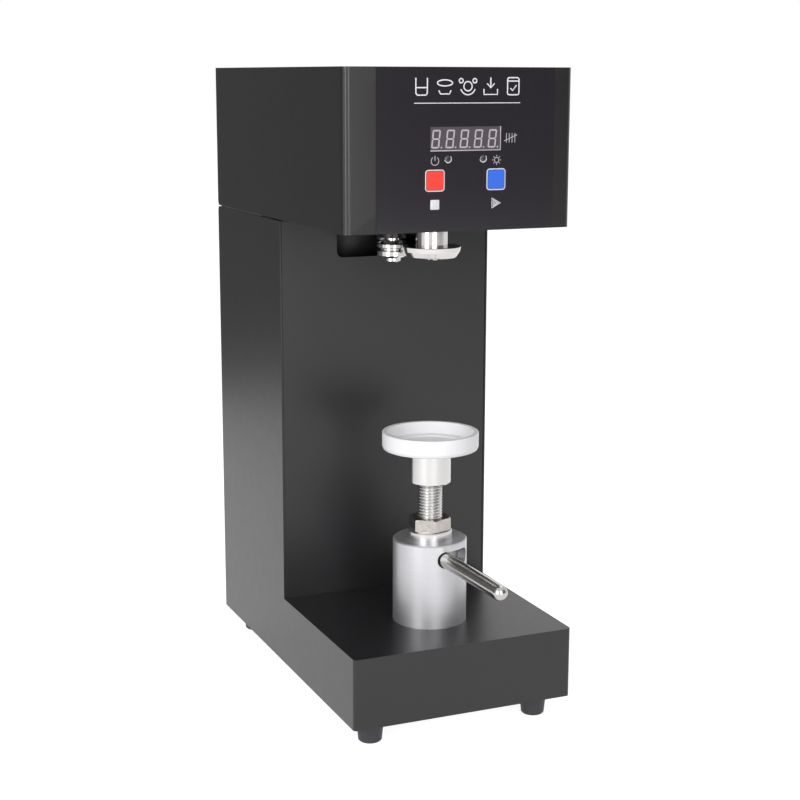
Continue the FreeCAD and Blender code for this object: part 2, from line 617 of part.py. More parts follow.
def plate_bolt_places():
    return corners("plate_bolt_x", "plate_bolt_front", "plate_bolt_back")


def make_head_plate():
    plate = body("head_plate")
    pad(plate, outline(plate, "XY_Plane", rectangle(
        "-head_plate_half", "head_plate_half", "-head_plate_front", "head_plate_back")),
        "head_plate_thick")
    holes = [("0", "0", "housing_rad"), ("0", "lever_back", "post_rad + run_fit"),
             ("0", PINION_BACK, "pinion_shaft_rad + 1")]
    holes += [(x, y, "plate_bolt_rad") for x, y in plate_bolt_places()]
    pocket(plate, circles(plate, "XY_Plane", holes))
    dress(plate, "Chamfer", "lift_chamfer * 4", lambda edge: along(edge, "z"))
    node(plate, "head_plate", z=FLOOR_TOP)


def make_head_plate_bolts():
    places = [(x, y, "0") for x, y in plate_bolt_places()]
    node(screws("head_plate_bolts", places, "plate_bolt_rad", "(head_plate_thick + case_sheet)",
                "plate_bolt_head", "plate_bolt_tall"), "head_plate_bolts", z=DECK_TOP)


def make_spindle_housing():
    upper = "(housing_tall - bearing_tall)"
    housing = turned("spindle_housing", [
        ("bearing_rad", "0"), ("housing_rad", "0"), ("housing_rad", "head_plate_thick"),
        ("housing_flange", "head_plate_thick"), ("housing_flange", "head_plate_thick + housing_flange_tall"),
        ("housing_rad", "head_plate_thick + housing_flange_tall"), ("housing_rad", "housing_tall"),
        ("bearing_rad", "housing_tall"), ("bearing_rad", upper), ("bearing_lip", upper),
        ("bearing_lip", "bearing_tall"), ("bearing_rad", "bearing_tall")])
    node(housing, "spindle_housing", z=FLOOR_TOP)


def make_spindle_bearings():
    """Two sealed ball bearings: rings with a shallow groove between inner and outer race."""
    inner = "(spindle_rad + run_fit)"
    for name, low in (("lower_spindle_bearing", "0"), ("upper_spindle_bearing", "housing_tall - bearing_tall")):
        bearing = turned(name, [
            (inner, "0"), ("bearing_rad", "0"), ("bearing_rad", "bearing_tall"),
            ("bearing_rad * 0.85", "bearing_tall"), ("bearing_rad * 0.83", "bearing_tall - bearing_face"),
            ("bearing_rad * 0.65", "bearing_tall - bearing_face"), ("bearing_rad * 0.63", "bearing_tall"),
            (inner, "bearing_tall")])
        node(bearing, name, z=f"{FLOOR_TOP} + {low}")


def make_spindle():
    """Ground spindle: collar between the bearings, pulley seat above, chuck seat below."""
    collar_low = f"({FLOOR_TOP} + bearing_tall + bearing_face)"
    collar_high = f"({FLOOR_TOP} + housing_tall - bearing_tall - bearing_face)"
    low = f"({HEAD_LOW} - spindle_drop)"
    spindle = turned("spindle", [
        ("chuck_screw_rad", low), ("spindle_rad", low), ("spindle_rad", collar_low),
        ("spindle_collar", collar_low), ("spindle_collar", collar_high), ("spindle_rad", collar_high),
        ("spindle_rad", f"{HEAD_LOW} + spindle_top - case_sheet"),
        ("spindle_rad - case_sheet", f"{HEAD_LOW} + spindle_top"), ("0", f"{HEAD_LOW} + spindle_top"),
        ("0", f"{low} + chuck_screw_long"), ("chuck_screw_rad", f"{low} + chuck_screw_long")])
    node(spindle, "spindle")


def make_seaming_chuck():
    """Chuck that fills the can end: cylindrical rim, step, tapered plug, dished face."""
    rim_low = "(chuck_tall - chuck_rim)"
    chuck = turned("seaming_chuck", [
        ("chuck_screw_rad", "chuck_dish + chuck_head_tall / 4"), ("chuck_dish_rad", "chuck_dish + chuck_head_tall / 4"),
        ("chuck_dish_rad + chuck_lip", "0"), ("chuck_tip_rad - chuck_lip / 2", "0"),
        ("chuck_tip_rad", "chuck_lip / 2"), ("chuck_rad - chuck_step", rim_low),
        ("chuck_rad", "chuck_tall - chuck_lip / 3"),
        ("chuck_rad - chuck_lip / 3", "chuck_tall"), ("chuck_screw_rad", "chuck_tall")])
    node(chuck, "seaming_chuck", z=f"{HEAD_LOW} - spindle_drop - chuck_tall")


def make_chuck_screw():
    seat_high = "(chuck_dish + chuck_head_tall / 4)"
    screw = turned("chuck_screw", [
        ("0", f"{seat_high} - chuck_head_tall + chuck_hex_deep"),
        ("chuck_hex", f"{seat_high} - chuck_head_tall + chuck_hex_deep"),
        ("chuck_hex", f"{seat_high} - chuck_head_tall"), ("chuck_head_rad", f"{seat_high} - chuck_head_tall"),
        ("chuck_head_rad", seat_high), ("chuck_screw_rad", seat_high),
        ("chuck_screw_rad", "chuck_tall + chuck_screw_long - 2"), ("0", "chuck_tall + chuck_screw_long - 2")])
    node(screw, "chuck_screw", z=f"{HEAD_LOW} - spindle_drop - chuck_tall")


# ---- belt drive

PULLEY_LOW = f"({HEAD_LOW} + pulley_low)"


def pulley(name, rim, bore, hub):
    """Flat-belt pulley with a flange at each end and a web thinner than its rim."""
    flange = f"({rim} + pulley_flange)"
    web_low = "((pulley_tall - pulley_web) / 2)"
    web_high = "((pulley_tall + pulley_web) / 2)"
    inner = f"({rim} - 3)"
    return turned(name, [
        (bore, "0"), (hub, "0"), (hub, web_low), (inner, web_low), (inner, "0"), (flange, "0"),
        (flange, "pulley_flange_tall"), (rim, "pulley_flange_tall"),
        (rim, "pulley_tall - pulley_flange_tall"), (flange, "pulley_tall - pulley_flange_tall"),
        (flange, "pulley_tall"), (inner, "pulley_tall"), (inner, web_high), (hub, web_high),
        (hub, "pulley_tall"), (bore, "pulley_tall")])


def make_pulleys():
    node(pulley("spindle_pulley", "spindle_pulley_rad", "spindle_rad", "pulley_hub"),
         "spindle_pulley", z=PULLEY_LOW)
    node(pulley("motor_pulley", "motor_pulley_rad", "motor_shaft_rad", "(motor_shaft_rad + 3)"),
         "motor_pulley", y=MOTOR_BACK, z=PULLEY_LOW)


def belt_face(extra):
    """Face inside a belt loop that runs `extra` outside both pulley rims."""
    back = number(MOTOR_BACK)
    big = number("spindle_pulley_rad") + extra
    small = number("motor_pulley_rad") + extra
    lean = math.asin((big - small) / back)

    def on(radius, centre, angle):
        return FreeCAD.Vector(radius * math.cos(angle), centre + radius * math.sin(angle), 0)

    right = [on(big, 0, lean), on(small, back, lean)]
    left = [on(small, back, math.pi - lean), on(big, 0, math.pi - lean)]
    edges = [Part.LineSegment(*right), Part.Arc(right[1], on(small, back, math.pi / 2), left[0]),
             Part.LineSegment(*left), Part.Arc(left[1], on(big, 0, -math.pi / 2), right[0])]
    return Part.Face(Part.Wire([edge.toShape() for edge in edges]))


def make_drive_belt():
    belt = doc.addObject("Part::Feature", "drive_belt")
    inner = number("belt_gap")
    ring = belt_face(inner + number("belt_thick")).cut(belt_face(inner))
    belt.Shape = ring.extrude(FreeCAD.Vector(0, 0, number("belt_wide")))
    node(belt, "drive_belt", z=f"{PULLEY_LOW} + (pulley_tall - belt_wide) / 2")


def make_drive_motor():
    """Round motor hung from the column's top plate, its locating boss through the plate."""
    top = f"({HEAD_LOW} - top_plate_thick)"
    low = f"({top} - motor_tall)"
    bore = "(motor_shaft_rad + run_fit)"
    motor = turned("drive_motor", [
        ("0", low), ("motor_rad - motor_band", low), ("motor_rad", f"{low} + motor_band"),
        ("motor_rad", f"{low} + motor_bell"), ("motor_rad - motor_band", f"{low} + motor_bell"),
        ("motor_rad - motor_band", f"{top} - motor_bell"), ("motor_rad", f"{top} - motor_bell"),
        ("motor_rad", f"{top} - motor_band"), ("motor_rad - motor_band", top),
        ("motor_boss_rad", top), ("motor_boss_rad", f"{top} + top_plate_thick + case_sheet"),
        (bore, f"{top} + top_plate_thick + case_sheet"), (bore, f"{top} - motor_shaft_deep"),
        ("0", f"{top} - motor_shaft_deep")])
    node(motor, "drive_motor", y=MOTOR_BACK)


def make_motor_shaft():
    low = f"({HEAD_LOW} - top_plate_thick - motor_shaft_deep + bearing_face)"
    shaft = cylinder("motor_shaft_rod", "motor_shaft_rad", f"{PULLEY_LOW} + pulley_tall + 4 - {low}")
    node(shaft, "motor_shaft", y=MOTOR_BACK, z=low)


# ---- roll lever, rolls and lever drive

def gear_points(teeth, module, backlash, turn):
    """Corners of an involute gear, one tooth centred on the angle `turn`."""
    pitch = teeth * module / 2
    base = pitch * math.cos(math.radians(20))
    root = pitch - 1.15 * module
    tip = pitch + 0.9 * module
    half = (math.pi * module / 2 - backlash) / (2 * pitch)
    flank = [max(base, root) + (tip - max(base, root)) * step / 4 for step in range(5)]

    def spread(radius):
        angle = math.acos(min(1, base / radius))
        return math.tan(angle) - angle

    points = []
    for tooth in range(teeth):
        centre = turn + tooth * 2 * math.pi / teeth
        rising = [(radius, centre - half - spread(pitch) + spread(radius)) for radius in flank]
        falling = [(radius, centre + half + spread(pitch) - spread(radius)) for radius in reversed(flank)]
        for radius, angle in [(root, rising[0][1])] + rising + falling + [(root, falling[-1][1])]:
            points.append(FreeCAD.Vector(radius * math.cos(angle), radius * math.sin(angle), 0))
    return points


def gear(name, teeth, turn, thick):
    """An involute gear as one solid, bottom face at height zero."""
    points = gear_points(teeth, number("gear_module"), number("gear_backlash"), turn)
    made = doc.addObject("Part::Feature", name)
    face = Part.Face(Part.makePolygon(points + points[:1]))
    made.Shape = face.extrude(FreeCAD.Vector(0, 0, thick))
    return made


def make_roll_lever():
    """Rocker with two roll arms in front of its pivot and a toothed sector behind."""
    arms = body("lever_arms")
    inner = "(roll_x - roll_boss * 0.7)"
    outer = "(roll_x + roll_boss * 0.9)"
    tip = "(roll_back - lever_back)"
    pad(arms, outline(arms, "XY_Plane", [
        (f"-{outer}", tip), (f"-{inner}", tip), ("-lever_neck / 2", f"{tip} + 16"),
        ("lever_neck / 2", f"{tip} + 16"), (inner, tip), (outer, tip), ("lever_boss * 0.94", "-lever_boss / 3"),
        ("lever_neck", "lever_boss"), ("-lever_neck", "lever_boss"), ("-lever_boss * 0.94", "-lever_boss / 3")]),
        "lever_thick")
    rounds = [("0", "0", "lever_boss"), ("-roll_x", tip, "roll_boss"), ("roll_x", tip, "roll_boss")]
    for ring in rounds:
        pad(arms, circles(arms, "XY_Plane", [ring]), "lever_thick")
    teeth = int(number("sector_teeth"))
    wheel = gear("lever_gear", teeth, math.pi / 2, number("lever_thick"))
    wedge = cylinder("lever_wedge", "gear_module * (sector_teeth / 2 + 2)", "lever_thick",
                     axis=(0, 0, 1), deg="90 - sector_half_deg")
    bind(wedge, "Angle", "2 * sector_half_deg")
    sector = doc.addObject("Part::MultiCommon", "lever_sector")
    sector.Shapes = [wheel, wedge]
    whole = fuse("lever_whole", [arms, sector])
    bores = fuse("lever_bores", [
        cylinder("lever_bore", "post_rad + run_fit", "lever_thick"),
        cylinder("lever_bore_first", "roll_pin_rad", "lever_thick", "-roll_x", tip),
        cylinder("lever_bore_second", "roll_pin_rad", "lever_thick", "roll_x", tip)])
    node(cut("roll_lever", whole, bores), "roll_lever", y="lever_back", z=LEVER_LOW)


def make_lever_pivot_post():
    stub = "(post_nut_tall + post_washer_tall + bearing_face)"
    high = f"(lever_low + case_sheet + head_plate_thick)"
    post = turned("lever_pivot_post", [
        ("0", f"-{stub}"), ("post_stub - 1", f"-{stub}"), ("post_stub", f"1 - {stub}"),
        ("post_stub", "-bearing_face"), ("post_rad", "-bearing_face"), ("post_rad", high),
        ("post_flange", high), ("post_flange", f"{high} + post_flange_tall"),
        ("0", f"{high} + post_flange_tall")])
    node(post, "lever_pivot_post", y="lever_back", z=LEVER_LOW)


def hexagon(half):
    """Corners of a hexagon of the given half width across flats, flats facing Y."""
    return [(f"{half} * 2 / sqrt(3) * cos({60 * turn}deg)", f"{half} * 2 / sqrt(3) * sin({60 * turn}deg)")
            for turn in range(6)]


def make_pivot_nut():
    nut = body("pivot_nut")
    pad(nut, outline(nut, "XY_Plane", hexagon("post_nut_half")), "post_nut_tall")
    pad(nut, circles(nut, "XY_Plane", [("0", "0", "post_washer")], "post_nut_tall"), "post_washer_tall")
    pocket(nut, circles(nut, "XY_Plane", [("0", "0", "post_stub")]))
    node(nut, "pivot_nut", y="lever_back",
         z=f"{LEVER_LOW} - post_nut_tall - post_washer_tall - bearing_face")


ROLL_Z = f"({HEAD_LOW} - roll_low)"
ROLL_PLACES = [("first_seaming_roll", "-roll_x"), ("second_seaming_roll", "roll_x")]


def make_seaming_rolls():
    """Hardened rolls with a seaming groove; the first pass groove is narrower and deeper."""
    for name, x in ROLL_PLACES:
        half = "1.6" if name.startswith("first") else "2.1"
        roll = turned(name, [
            ("roll_pin_rad + run_fit", "0"), ("roll_core", "0"), ("roll_core + 1", "1"),
            ("roll_rad - 1", "1"), ("roll_rad", "2"), ("roll_rad", f"roll_groove_low - {half}"),
            (f"roll_rad - roll_groove", f"roll_groove_low - {half} / 3"),
            (f"roll_rad - roll_groove", f"roll_groove_low + {half} / 3"),
            ("roll_rad", f"roll_groove_low + {half}"), ("roll_rad", "roll_tall - 3"),
            ("roll_rad - 1", "roll_tall - 2"), ("roll_core + 1", "roll_tall - 2"),
            ("roll_core", "roll_tall"), ("roll_pin_rad + run_fit", "roll_tall")])
        node(roll, name, x, "roll_back", ROLL_Z)


def make_roll_pins():
    """Shoulder bolts that carry the rolls: head below, collar under the lever."""
    made = []
    for count, (name, x) in enumerate(ROLL_PLACES):
        pin = turned(f"roll_pin{count}", [
            ("0", "-roll_pin_head_tall - bearing_face"), ("roll_pin_head - 0.6", "-roll_pin_head_tall - bearing_face"),
            ("roll_pin_head", "0.6 - roll_pin_head_tall - bearing_face"), ("roll_pin_head", "-bearing_face"),
            ("roll_pin_rad", "-bearing_face"), ("roll_pin_rad", "roll_tall + bearing_face"),
            ("roll_collar", "roll_tall + bearing_face"), ("roll_collar", "roll_low - lever_low"),
            ("roll_pin_rad", "roll_low - lever_low"), ("roll_pin_rad", "roll_low - lever_low + lever_thick"),
            ("0", "roll_low - lever_low + lever_thick")])
        bind(pin, "Placement.Base.x", x)
        made.append(pin)
    node(group("roll_pins", made), "roll_pins", y="roll_back", z=ROLL_Z)


def make_lever_drive():
    """Gear motor on the head plate between the belt runs, its pinion in mesh with the sector."""
    shaft_hole = "(pinion_shaft_rad + run_fit)"
    motor = turned("lever_motor", [
        (shaft_hole, "0"), ("gearbox_rad", "0"), ("gearbox_rad", "gearbox_tall"),
        ("lever_motor_rad", "gearbox_tall"), ("lever_motor_rad", "gearbox_tall + lever_motor_tall - 1"),
        ("lever_motor_rad - 1", "gearbox_tall + lever_motor_tall"), ("0", "gearbox_tall + lever_motor_tall"),
        ("0", "pinion_shaft_up + 1"), (shaft_hole, "pinion_shaft_up + 1")])
    node(motor, "lever_motor", y=PINION_BACK, z=DECK_TOP)
    teeth = int(number("pinion_teeth"))
    wheel = gear("pinion_gear", teeth, -math.pi / 2 + math.pi / teeth, number("lever_thick"))
    rod = cylinder("pinion_rod", "pinion_shaft_rad",
                   "lever_low + case_sheet + head_plate_thick + pinion_shaft_up")
    node(fuse("lever_pinion", [wheel, rod]), "lever_pinion", y=PINION_BACK, z=LEVER_LOW)


# ---- lift unit

def slot_cutter():
    """Milled slot for the handle: a pie slice with a round end at each limit of travel."""
    pie = cylinder("slot_pie", "lift_rad + 5", "slot_tall", z="slot_high - slot_tall / 2",
                   axis=(0, 0, 1), deg="rest_deg - slot_spare_deg - 90")
    bind(pie, "Angle", "swing_deg + 2 * slot_spare_deg")
    made = [pie]
    for count, turn in enumerate(("rest_deg - slot_spare_deg", "rest_deg + swing_deg + slot_spare_deg")):
        made.append(radial_hole(f"slot_end{count}", "slot_tall / 2", "lift_rad + 5", f"{turn} - 90", "slot_high"))
    return fuse("slot_cut", made)


def radial_hole(name, radius, length, turn, high, start="0"):
    """A cylinder lying flat that points away from the axis at the angle `turn`."""
    made = doc.addObject("Part::Cylinder", name)
    bind(made, "Radius", radius)
    bind(made, "Height", f"({length}) - ({start})")
    lying = FreeCAD.Rotation(FreeCAD.Vector(1, 0, 0), 90)
    made.Placement = FreeCAD.Placement(FreeCAD.Vector(), FreeCAD.Rotation(FreeCAD.Vector(0, 0, 1), 90) * lying)
    made.setExpression("Placement", link(
        f"create(<<placement>>; create(<<vector>>; ({start}) * cos(({turn}) * 1deg); "
        f"({start}) * sin(({turn}) * 1deg); {high}); "
        f"create(<<rotation>>; {turn} + 90; 0; 90))"))
    return made


def make_lift_cylinder():
    """Turned lift housing: guide lid, bore for the cam sleeve, two pin grooves, handle slot."""
    bore = "(sleeve_rad + run_fit * 4)"
    lid = "(lift_tall - lift_lid)"
    shell = turned("lift_turned", [
        (bore, "0"), ("lift_rad", "0"), ("lift_rad", "lift_tall - lift_chamfer"),
        ("lift_rad - lift_chamfer", "lift_tall"), ("piston_rad + run_fit", "lift_tall"),
        ("piston_rad + run_fit", lid), (bore, lid)])
    groove = box("pin_groove", "2 * groove_deep", "2 * (guide_pin_rad + groove_gap)",
                 "guide_pin_high + lift_stroke + guide_pin_rad + 1",
                 "-groove_deep", "-guide_pin_rad - groove_gap", "0")
    holes = [cylinder(f"lift_tapped{count}", "lift_screw_rad", "lift_screw_long", x, y)
             for count, (x, y) in enumerate(lift_screw_places())]
    tools = fuse("lift_tools", [slot_cutter(), groove] + holes)
    node(cut("lift_cylinder", shell, tools), "lift_cylinder", z=BASE_TOP)


def make_lift_mount():
    plate = body("lift_mount_plate")
    half = "mount_plate_half"
    pad(plate, outline(plate, "XY_Plane", rectangle(f"-{half}", half, f"-{half}", half)), "mount_plate_thick")
    pocket(plate, circles(plate, "XY_Plane", [(x, y, "lift_screw_rad") for x, y in lift_screw_places()]))
    node(plate, "lift_mount_plate", z=f"{BASE_TOP} - case_sheet - mount_plate_thick")
    places = [(x, y, "0") for x, y in lift_screw_places()]
    node(screws("lift_screws", places, "lift_screw_rad", "(lift_screw_long - 2)", "lift_screw_head",
                "lift_screw_head_tall", deg="180"), "lift_screws",
         z=f"{BASE_TOP} - case_sheet - mount_plate_thick")


def make_cam_sleeve():
    """Sleeve turned by the handle; its two helical slots raise the guide pins of the piston."""
    inner = "(sleeve_rad - sleeve_wall)"
    shell = turned("sleeve_turned", [
        (inner, "sleeve_gap"), ("sleeve_rad", "sleeve_gap"),
        ("sleeve_rad", "lift_tall - lift_lid - sleeve_gap"), (inner, "lift_tall - lift_lid - sleeve_gap")])
    tools = [radial_hole("handle_hole", "handle_stub", "sleeve_rad + 5", "rest_deg - 90", "slot_high")]
    steps = 12
    for side in (0, 180):
        for step in range(steps + 1):
            part = f"{step} / {steps}"
            tools.append(radial_hole(
                f"cam_{side}_{step}", "guide_pin_rad + cam_gap", "sleeve_rad + 5",
                f"{side} - swing_deg * {part}", f"guide_pin_high + lift_stroke * {part}"))
    node(cut("cam_sleeve", shell, fuse("cam_tools", tools)), "cam_sleeve", z=BASE_TOP)


def make_lift_handle():
    """Stainless rod with a domed end and a reduced end screwed into the cam sleeve."""
    rod = radial_hole("handle_rod", "handle_rad", "handle_reach - handle_rad", "rest_deg - 90",
                      "slot_high", "sleeve_rad + bearing_face")
    stub = radial_hole("handle_end", "handle_stub", "sleeve_rad + 2", "rest_deg - 90",
                       "slot_high", "sleeve_rad - sleeve_wall + bearing_face")
    dome = doc.addObject("Part::Sphere", "handle_dome")
    bind(dome, "Radius", "handle_rad")
    bind(dome, "Placement.Base.x", "(handle_reach - handle_rad) * cos((rest_deg - 90) * 1deg)")
    bind(dome, "Placement.Base.y", "(handle_reach - handle_rad) * sin((rest_deg - 90) * 1deg)")
    bind(dome, "Placement.Base.z", "slot_high")
    node(fuse("lift_handle", [rod, stub, dome]), "lift_handle", z=BASE_TOP)


def make_lift_piston():
    shell = turned("piston_turned", [
        ("screw_rad + run_fit", "piston_low"), ("piston_rad", "piston_low"),
        ("piston_rad", "piston_top - piston_chamfer"), ("piston_rad - piston_chamfer", "piston_top"),
        ("screw_rad + run_fit", "piston_top")])
    start = "(piston_rad - guide_pin_bite)"
    holes = fuse("piston_holes", [
        radial_hole(f"piston_hole{side}", "guide_pin_rad", "piston_rad + 1", str(side), "guide_pin_high", start)
        for side in (0, 180)])
    node(cut("lift_piston", shell, holes), "lift_piston", z=BASE_TOP)
    pins = [radial_hole(f"guide_pin{side}", "guide_pin_rad", "guide_pin_reach", str(side),
                        "guide_pin_high", start) for side in (0, 180)]
    node(group("piston_guide_pins", pins), "piston_guide_pins", z=BASE_TOP)


def make_height_screw():
    screw = turned("height_screw", [
        ("0", "piston_top - screw_hidden"), ("screw_rad - 1", "piston_top - screw_hidden"),
        ("screw_rad", "piston_top - screw_hidden + 1"), ("screw_rad", "piston_top + screw_show"),
        ("screw_stub", "piston_top + screw_show"), ("screw_stub", "piston_top + screw_show + screw_stub_tall"),
        ("0", "piston_top + screw_show + screw_stub_tall")])
    node(screw, "height_screw", z=BASE_TOP)


def make_lock_nut():
    """Hexagon lock nut, its corners bevelled above and below."""
    prism = body("nut_prism")
    pad(prism, outline(prism, "XY_Plane", hexagon("(nut_flats / 2)")), "nut_tall")
    pocket(prism, circles(prism, "XY_Plane", [("0", "0", "screw_rad + run_fit")]))
    corner = "(nut_flats / sqrt(3) + 0.1)"
    limit = turned("nut_limit", [
        ("0", "0"), (f"{corner} - nut_bevel", "0"), (corner, "nut_bevel * 0.6"),
        (corner, "nut_tall - nut_bevel * 0.6"), (f"{corner} - nut_bevel", "nut_tall"), ("0", "nut_tall")])
    nut = doc.addObject("Part::MultiCommon", "lock_nut")
    nut.Shapes = [prism, limit]
    nut.Placement = FreeCAD.Placement(FreeCAD.Vector(), FreeCAD.Rotation(FreeCAD.Vector(0, 0, 1), 10))
    bind(nut, "Placement.Rotation.Angle", "nut_turn_deg")
    node(nut, "lock_nut", z=f"{BASE_TOP} + piston_top")


HUB_LOW = f"({BASE_TOP} + piston_top + screw_show + hub_gap)"


def make_tray_bearing():
    """Sealed bearing between the screw's spigot and the hub."""
    bearing = turned("tray_bearing", [
        ("screw_stub + run_fit", "0"), ("tray_bearing_rad", "0"), ("tray_bearing_rad", "tray_bearing_tall"),
        ("tray_bearing_rad * 0.85", "tray_bearing_tall"), ("tray_bearing_rad * 0.83", "tray_bearing_tall - bearing_face"),
        ("tray_bearing_rad * 0.6", "tray_bearing_tall - bearing_face"), ("tray_bearing_rad * 0.58", "tray_bearing_tall"),
        ("screw_stub + run_fit", "tray_bearing_tall")])
    node(bearing, "tray_bearing", z=f"{HUB_LOW} + bearing_face")


def make_tray_hub():
    seat_top = "(tray_bearing_tall + 2 * bearing_face)"
    relief_top = "(screw_stub_tall + 1)"
    hub = turned("tray_hub", [
        ("tray_bearing_rad + run_fit", "0"), ("hub_rad - hub_chamfer", "0"), ("hub_rad", "hub_chamfer"),
        ("hub_rad", "hub_tall - hub_chamfer"), ("hub_rad - hub_chamfer", "hub_tall"),
        ("tray_screw_rad", "hub_tall"), ("tray_screw_rad", "hub_tall - tray_screw_long"),
        ("0", "hub_tall - tray_screw_long"), ("0", relief_top), ("hub_relief", relief_top),
        ("hub_relief", seat_top), ("tray_bearing_rad + run_fit", seat_top)])
    node(hub, "tray_hub", z=HUB_LOW)


def make_can_tray():
    """Turned plastic can seat with a raised rim, a recessed floor and a countersunk screw hole."""
    well = "(tray_floor - tray_well_deep)"
    tray = turned("can_tray", [
        ("tray_screw_rad", "0"), ("tray_rad - tray_round", "0"),
        ("tray_rad - tray_round * 0.29", "tray_round * 0.29"), ("tray_rad", "tray_round"),
        ("tray_rad", "tray_tall - tray_edge"), ("tray_rad - tray_edge", "tray_tall"),
        ("tray_bore", "tray_tall"), ("tray_bore", "tray_floor"), ("tray_well", "tray_floor"), ("tray_well", well),
        ("tray_screw_head", well), ("tray_screw_head", f"{well} - tray_screw_head_tall / 3"),
        ("tray_screw_rad", f"{well} - tray_screw_head_tall")])
    node(tray, "can_tray", z=TRAY_LOW)
    screw = turned("tray_screw", [
        ("0", f"2 - tray_screw_long"), ("tray_screw_rad", f"2 - tray_screw_long"),
        ("tray_screw_rad", f"{well} - tray_screw_head_tall"), ("tray_screw_head", f"{well} - tray_screw_head_tall / 3"),
        ("tray_screw_head", f"{well}"), ("1.6", well), ("1.6", f"{well} - 1.2"), ("0", f"{well} - 1.2")])
    node(screw, "tray_screw", z=TRAY_LOW)


# ---- electrics

ELECTRIC_Z = "(inlet_high + foot_tall)"


def make_power_inlet():
    """Recessed three-pin appliance inlet with a screwed flange."""
    inlet = body("power_inlet")
    pad(inlet, outline(inlet, "XZ_Plane", rectangle(
        "-inlet_flange_half", "inlet_flange_half", "-inlet_flange_tall", "inlet_flange_tall")),
        "inlet_flange_thick", back=True)
    pad(inlet, outline(inlet, "XZ_Plane", rectangle("-inlet_half", "inlet_half", "-inlet_tall", "inlet_tall")),
        "inlet_deep")
    corner = "(inlet_well_tall / 2)"
    pocket(inlet, outline(inlet, "XZ_Plane", [
        ("-inlet_well_half", "-inlet_well_tall"), ("inlet_well_half", "-inlet_well_tall"),
        ("inlet_well_half", f"inlet_well_tall - {corner}"), (f"inlet_well_half - {corner}", "inlet_well_tall"),
        (f"{corner} - inlet_well_half", "inlet_well_tall"), ("-inlet_well_half", f"inlet_well_tall - {corner}")],
        "-inlet_flange_thick"), "inlet_well_deep", back=True)
    pins = sketch(inlet, "XZ_Plane", "inlet_well_deep - inlet_flange_thick")
    for x, z in (("-inlet_pin_gap", "-1"), ("0", "2"), ("inlet_pin_gap", "-1")):
        add_outline(pins, rectangle(f"{x} - inlet_pin_thick / 2", f"{x} + inlet_pin_thick / 2",
                                    f"{z} - inlet_pin_wide / 2", f"{z} + inlet_pin_wide / 2"))
    pad(inlet, pins, "inlet_well_deep - 3", back=True)
    node(inlet, "power_inlet", INLET_X, REAR_FACE, ELECTRIC_Z)


def make_power_switch():
    frame = body("power_switch")
    edge = "switch_bezel_edge"
    pad(frame, outline(frame, "XZ_Plane", rectangle(
        f"-switch_half - {edge}", f"switch_half + {edge}", f"-switch_tall - {edge}", f"switch_tall + {edge}")),
        "switch_bezel", back=True)
    pad(frame, outline(frame, "XZ_Plane", rectangle("-switch_half", "switch_half", "-switch_tall", "switch_tall")),
        "switch_deep")
    wide = "(rocker_half + rocker_side)"
    tall = "(rocker_tall + rocker_end)"
    pocket(frame, outline(frame, "XZ_Plane", rectangle(f"-{wide}", wide, f"-{tall}", tall), "-switch_bezel"),
           "switch_bezel + rocker_pivot + rocker_foot + 3", back=True)
    pivot = circles(frame, "YZ_Plane", [("switch_bezel - rocker_pivot", "0", "rocker_pin_rad + run_fit")])
    pocket(frame, pivot, f"2 * ({wide} + rocker_pin_long)", middle=True)
    node(frame, "power_switch", SWITCH_X, REAR_FACE, ELECTRIC_Z)


def make_power_rocker():
    """Rocker cap with a shallow V face and two pivot pins, resting in the off position."""
    rocker = body("power_rocker")
    pad(rocker, outline(rocker, "YZ_Plane", [
        ("rocker_face", "-rocker_tall"), ("rocker_face - rocker_dip", "0"), ("rocker_face", "rocker_tall"),
        ("-rocker_foot", "rocker_tall - 0.5"), ("-rocker_foot", "0.5 - rocker_tall")]),
        "2 * rocker_half", middle=True)
    pad(rocker, circles(rocker, "YZ_Plane", [("0", "0", "rocker_pin_rad")]),
        "2 * (rocker_half + rocker_side + rocker_pin_long - 0.2)", middle=True)
    rocker.Placement = FreeCAD.Placement(FreeCAD.Vector(), FreeCAD.Rotation(FreeCAD.Vector(1, 0, 0), 8))
    bind(rocker, "Placement.Rotation.Angle", "rocker_tilt_deg")
    node(rocker, "power_rocker", SWITCH_X, f"{REAR_FACE} + switch_bezel - rocker_pivot", ELECTRIC_Z)


def make_drive_controller():
    """Motor driver in a finned housing on the base plate, behind the lift unit."""
    block = box("controller_block", "2 * controller_half", "controller_back - controller_front",
                "controller_tall", "-controller_half", "controller_front", "0")
    fins = [box(f"controller_fin{count}", "controller_fin", "controller_back - controller_front",
                "controller_fin_tall + 1",
                f"-controller_fin_pitch * (controller_fins - 1) / 2 - controller_fin / 2 + {count} * controller_fin_pitch",
                "controller_front", "controller_tall - 1")
            for count in range(int(number("controller_fins")))]
    node(fuse("drive_controller", [block] + fins), "drive_controller", z=PLATE_TOP)


def write_files():
    """Checks every object, then writes one file for each sub-part."""
    doc.recompute()
    failed = [item.Name for item in doc.Objects if "Invalid" in item.State or "Error" in item.State]
    for thing in NODES:
        if thing.Shape.isNull() or not thing.Shape.isValid() or not thing.Shape.Solids:
            failed.append(thing.Label)
    if failed:
        raise RuntimeError("not built: " + ", ".join(failed))
    os.makedirs("parts", exist_ok=True)
    for thing in NODES:
        thing.Shape.exportStep(f"parts/{thing.Label}.step")
    print(len(NODES), "sub-parts written")


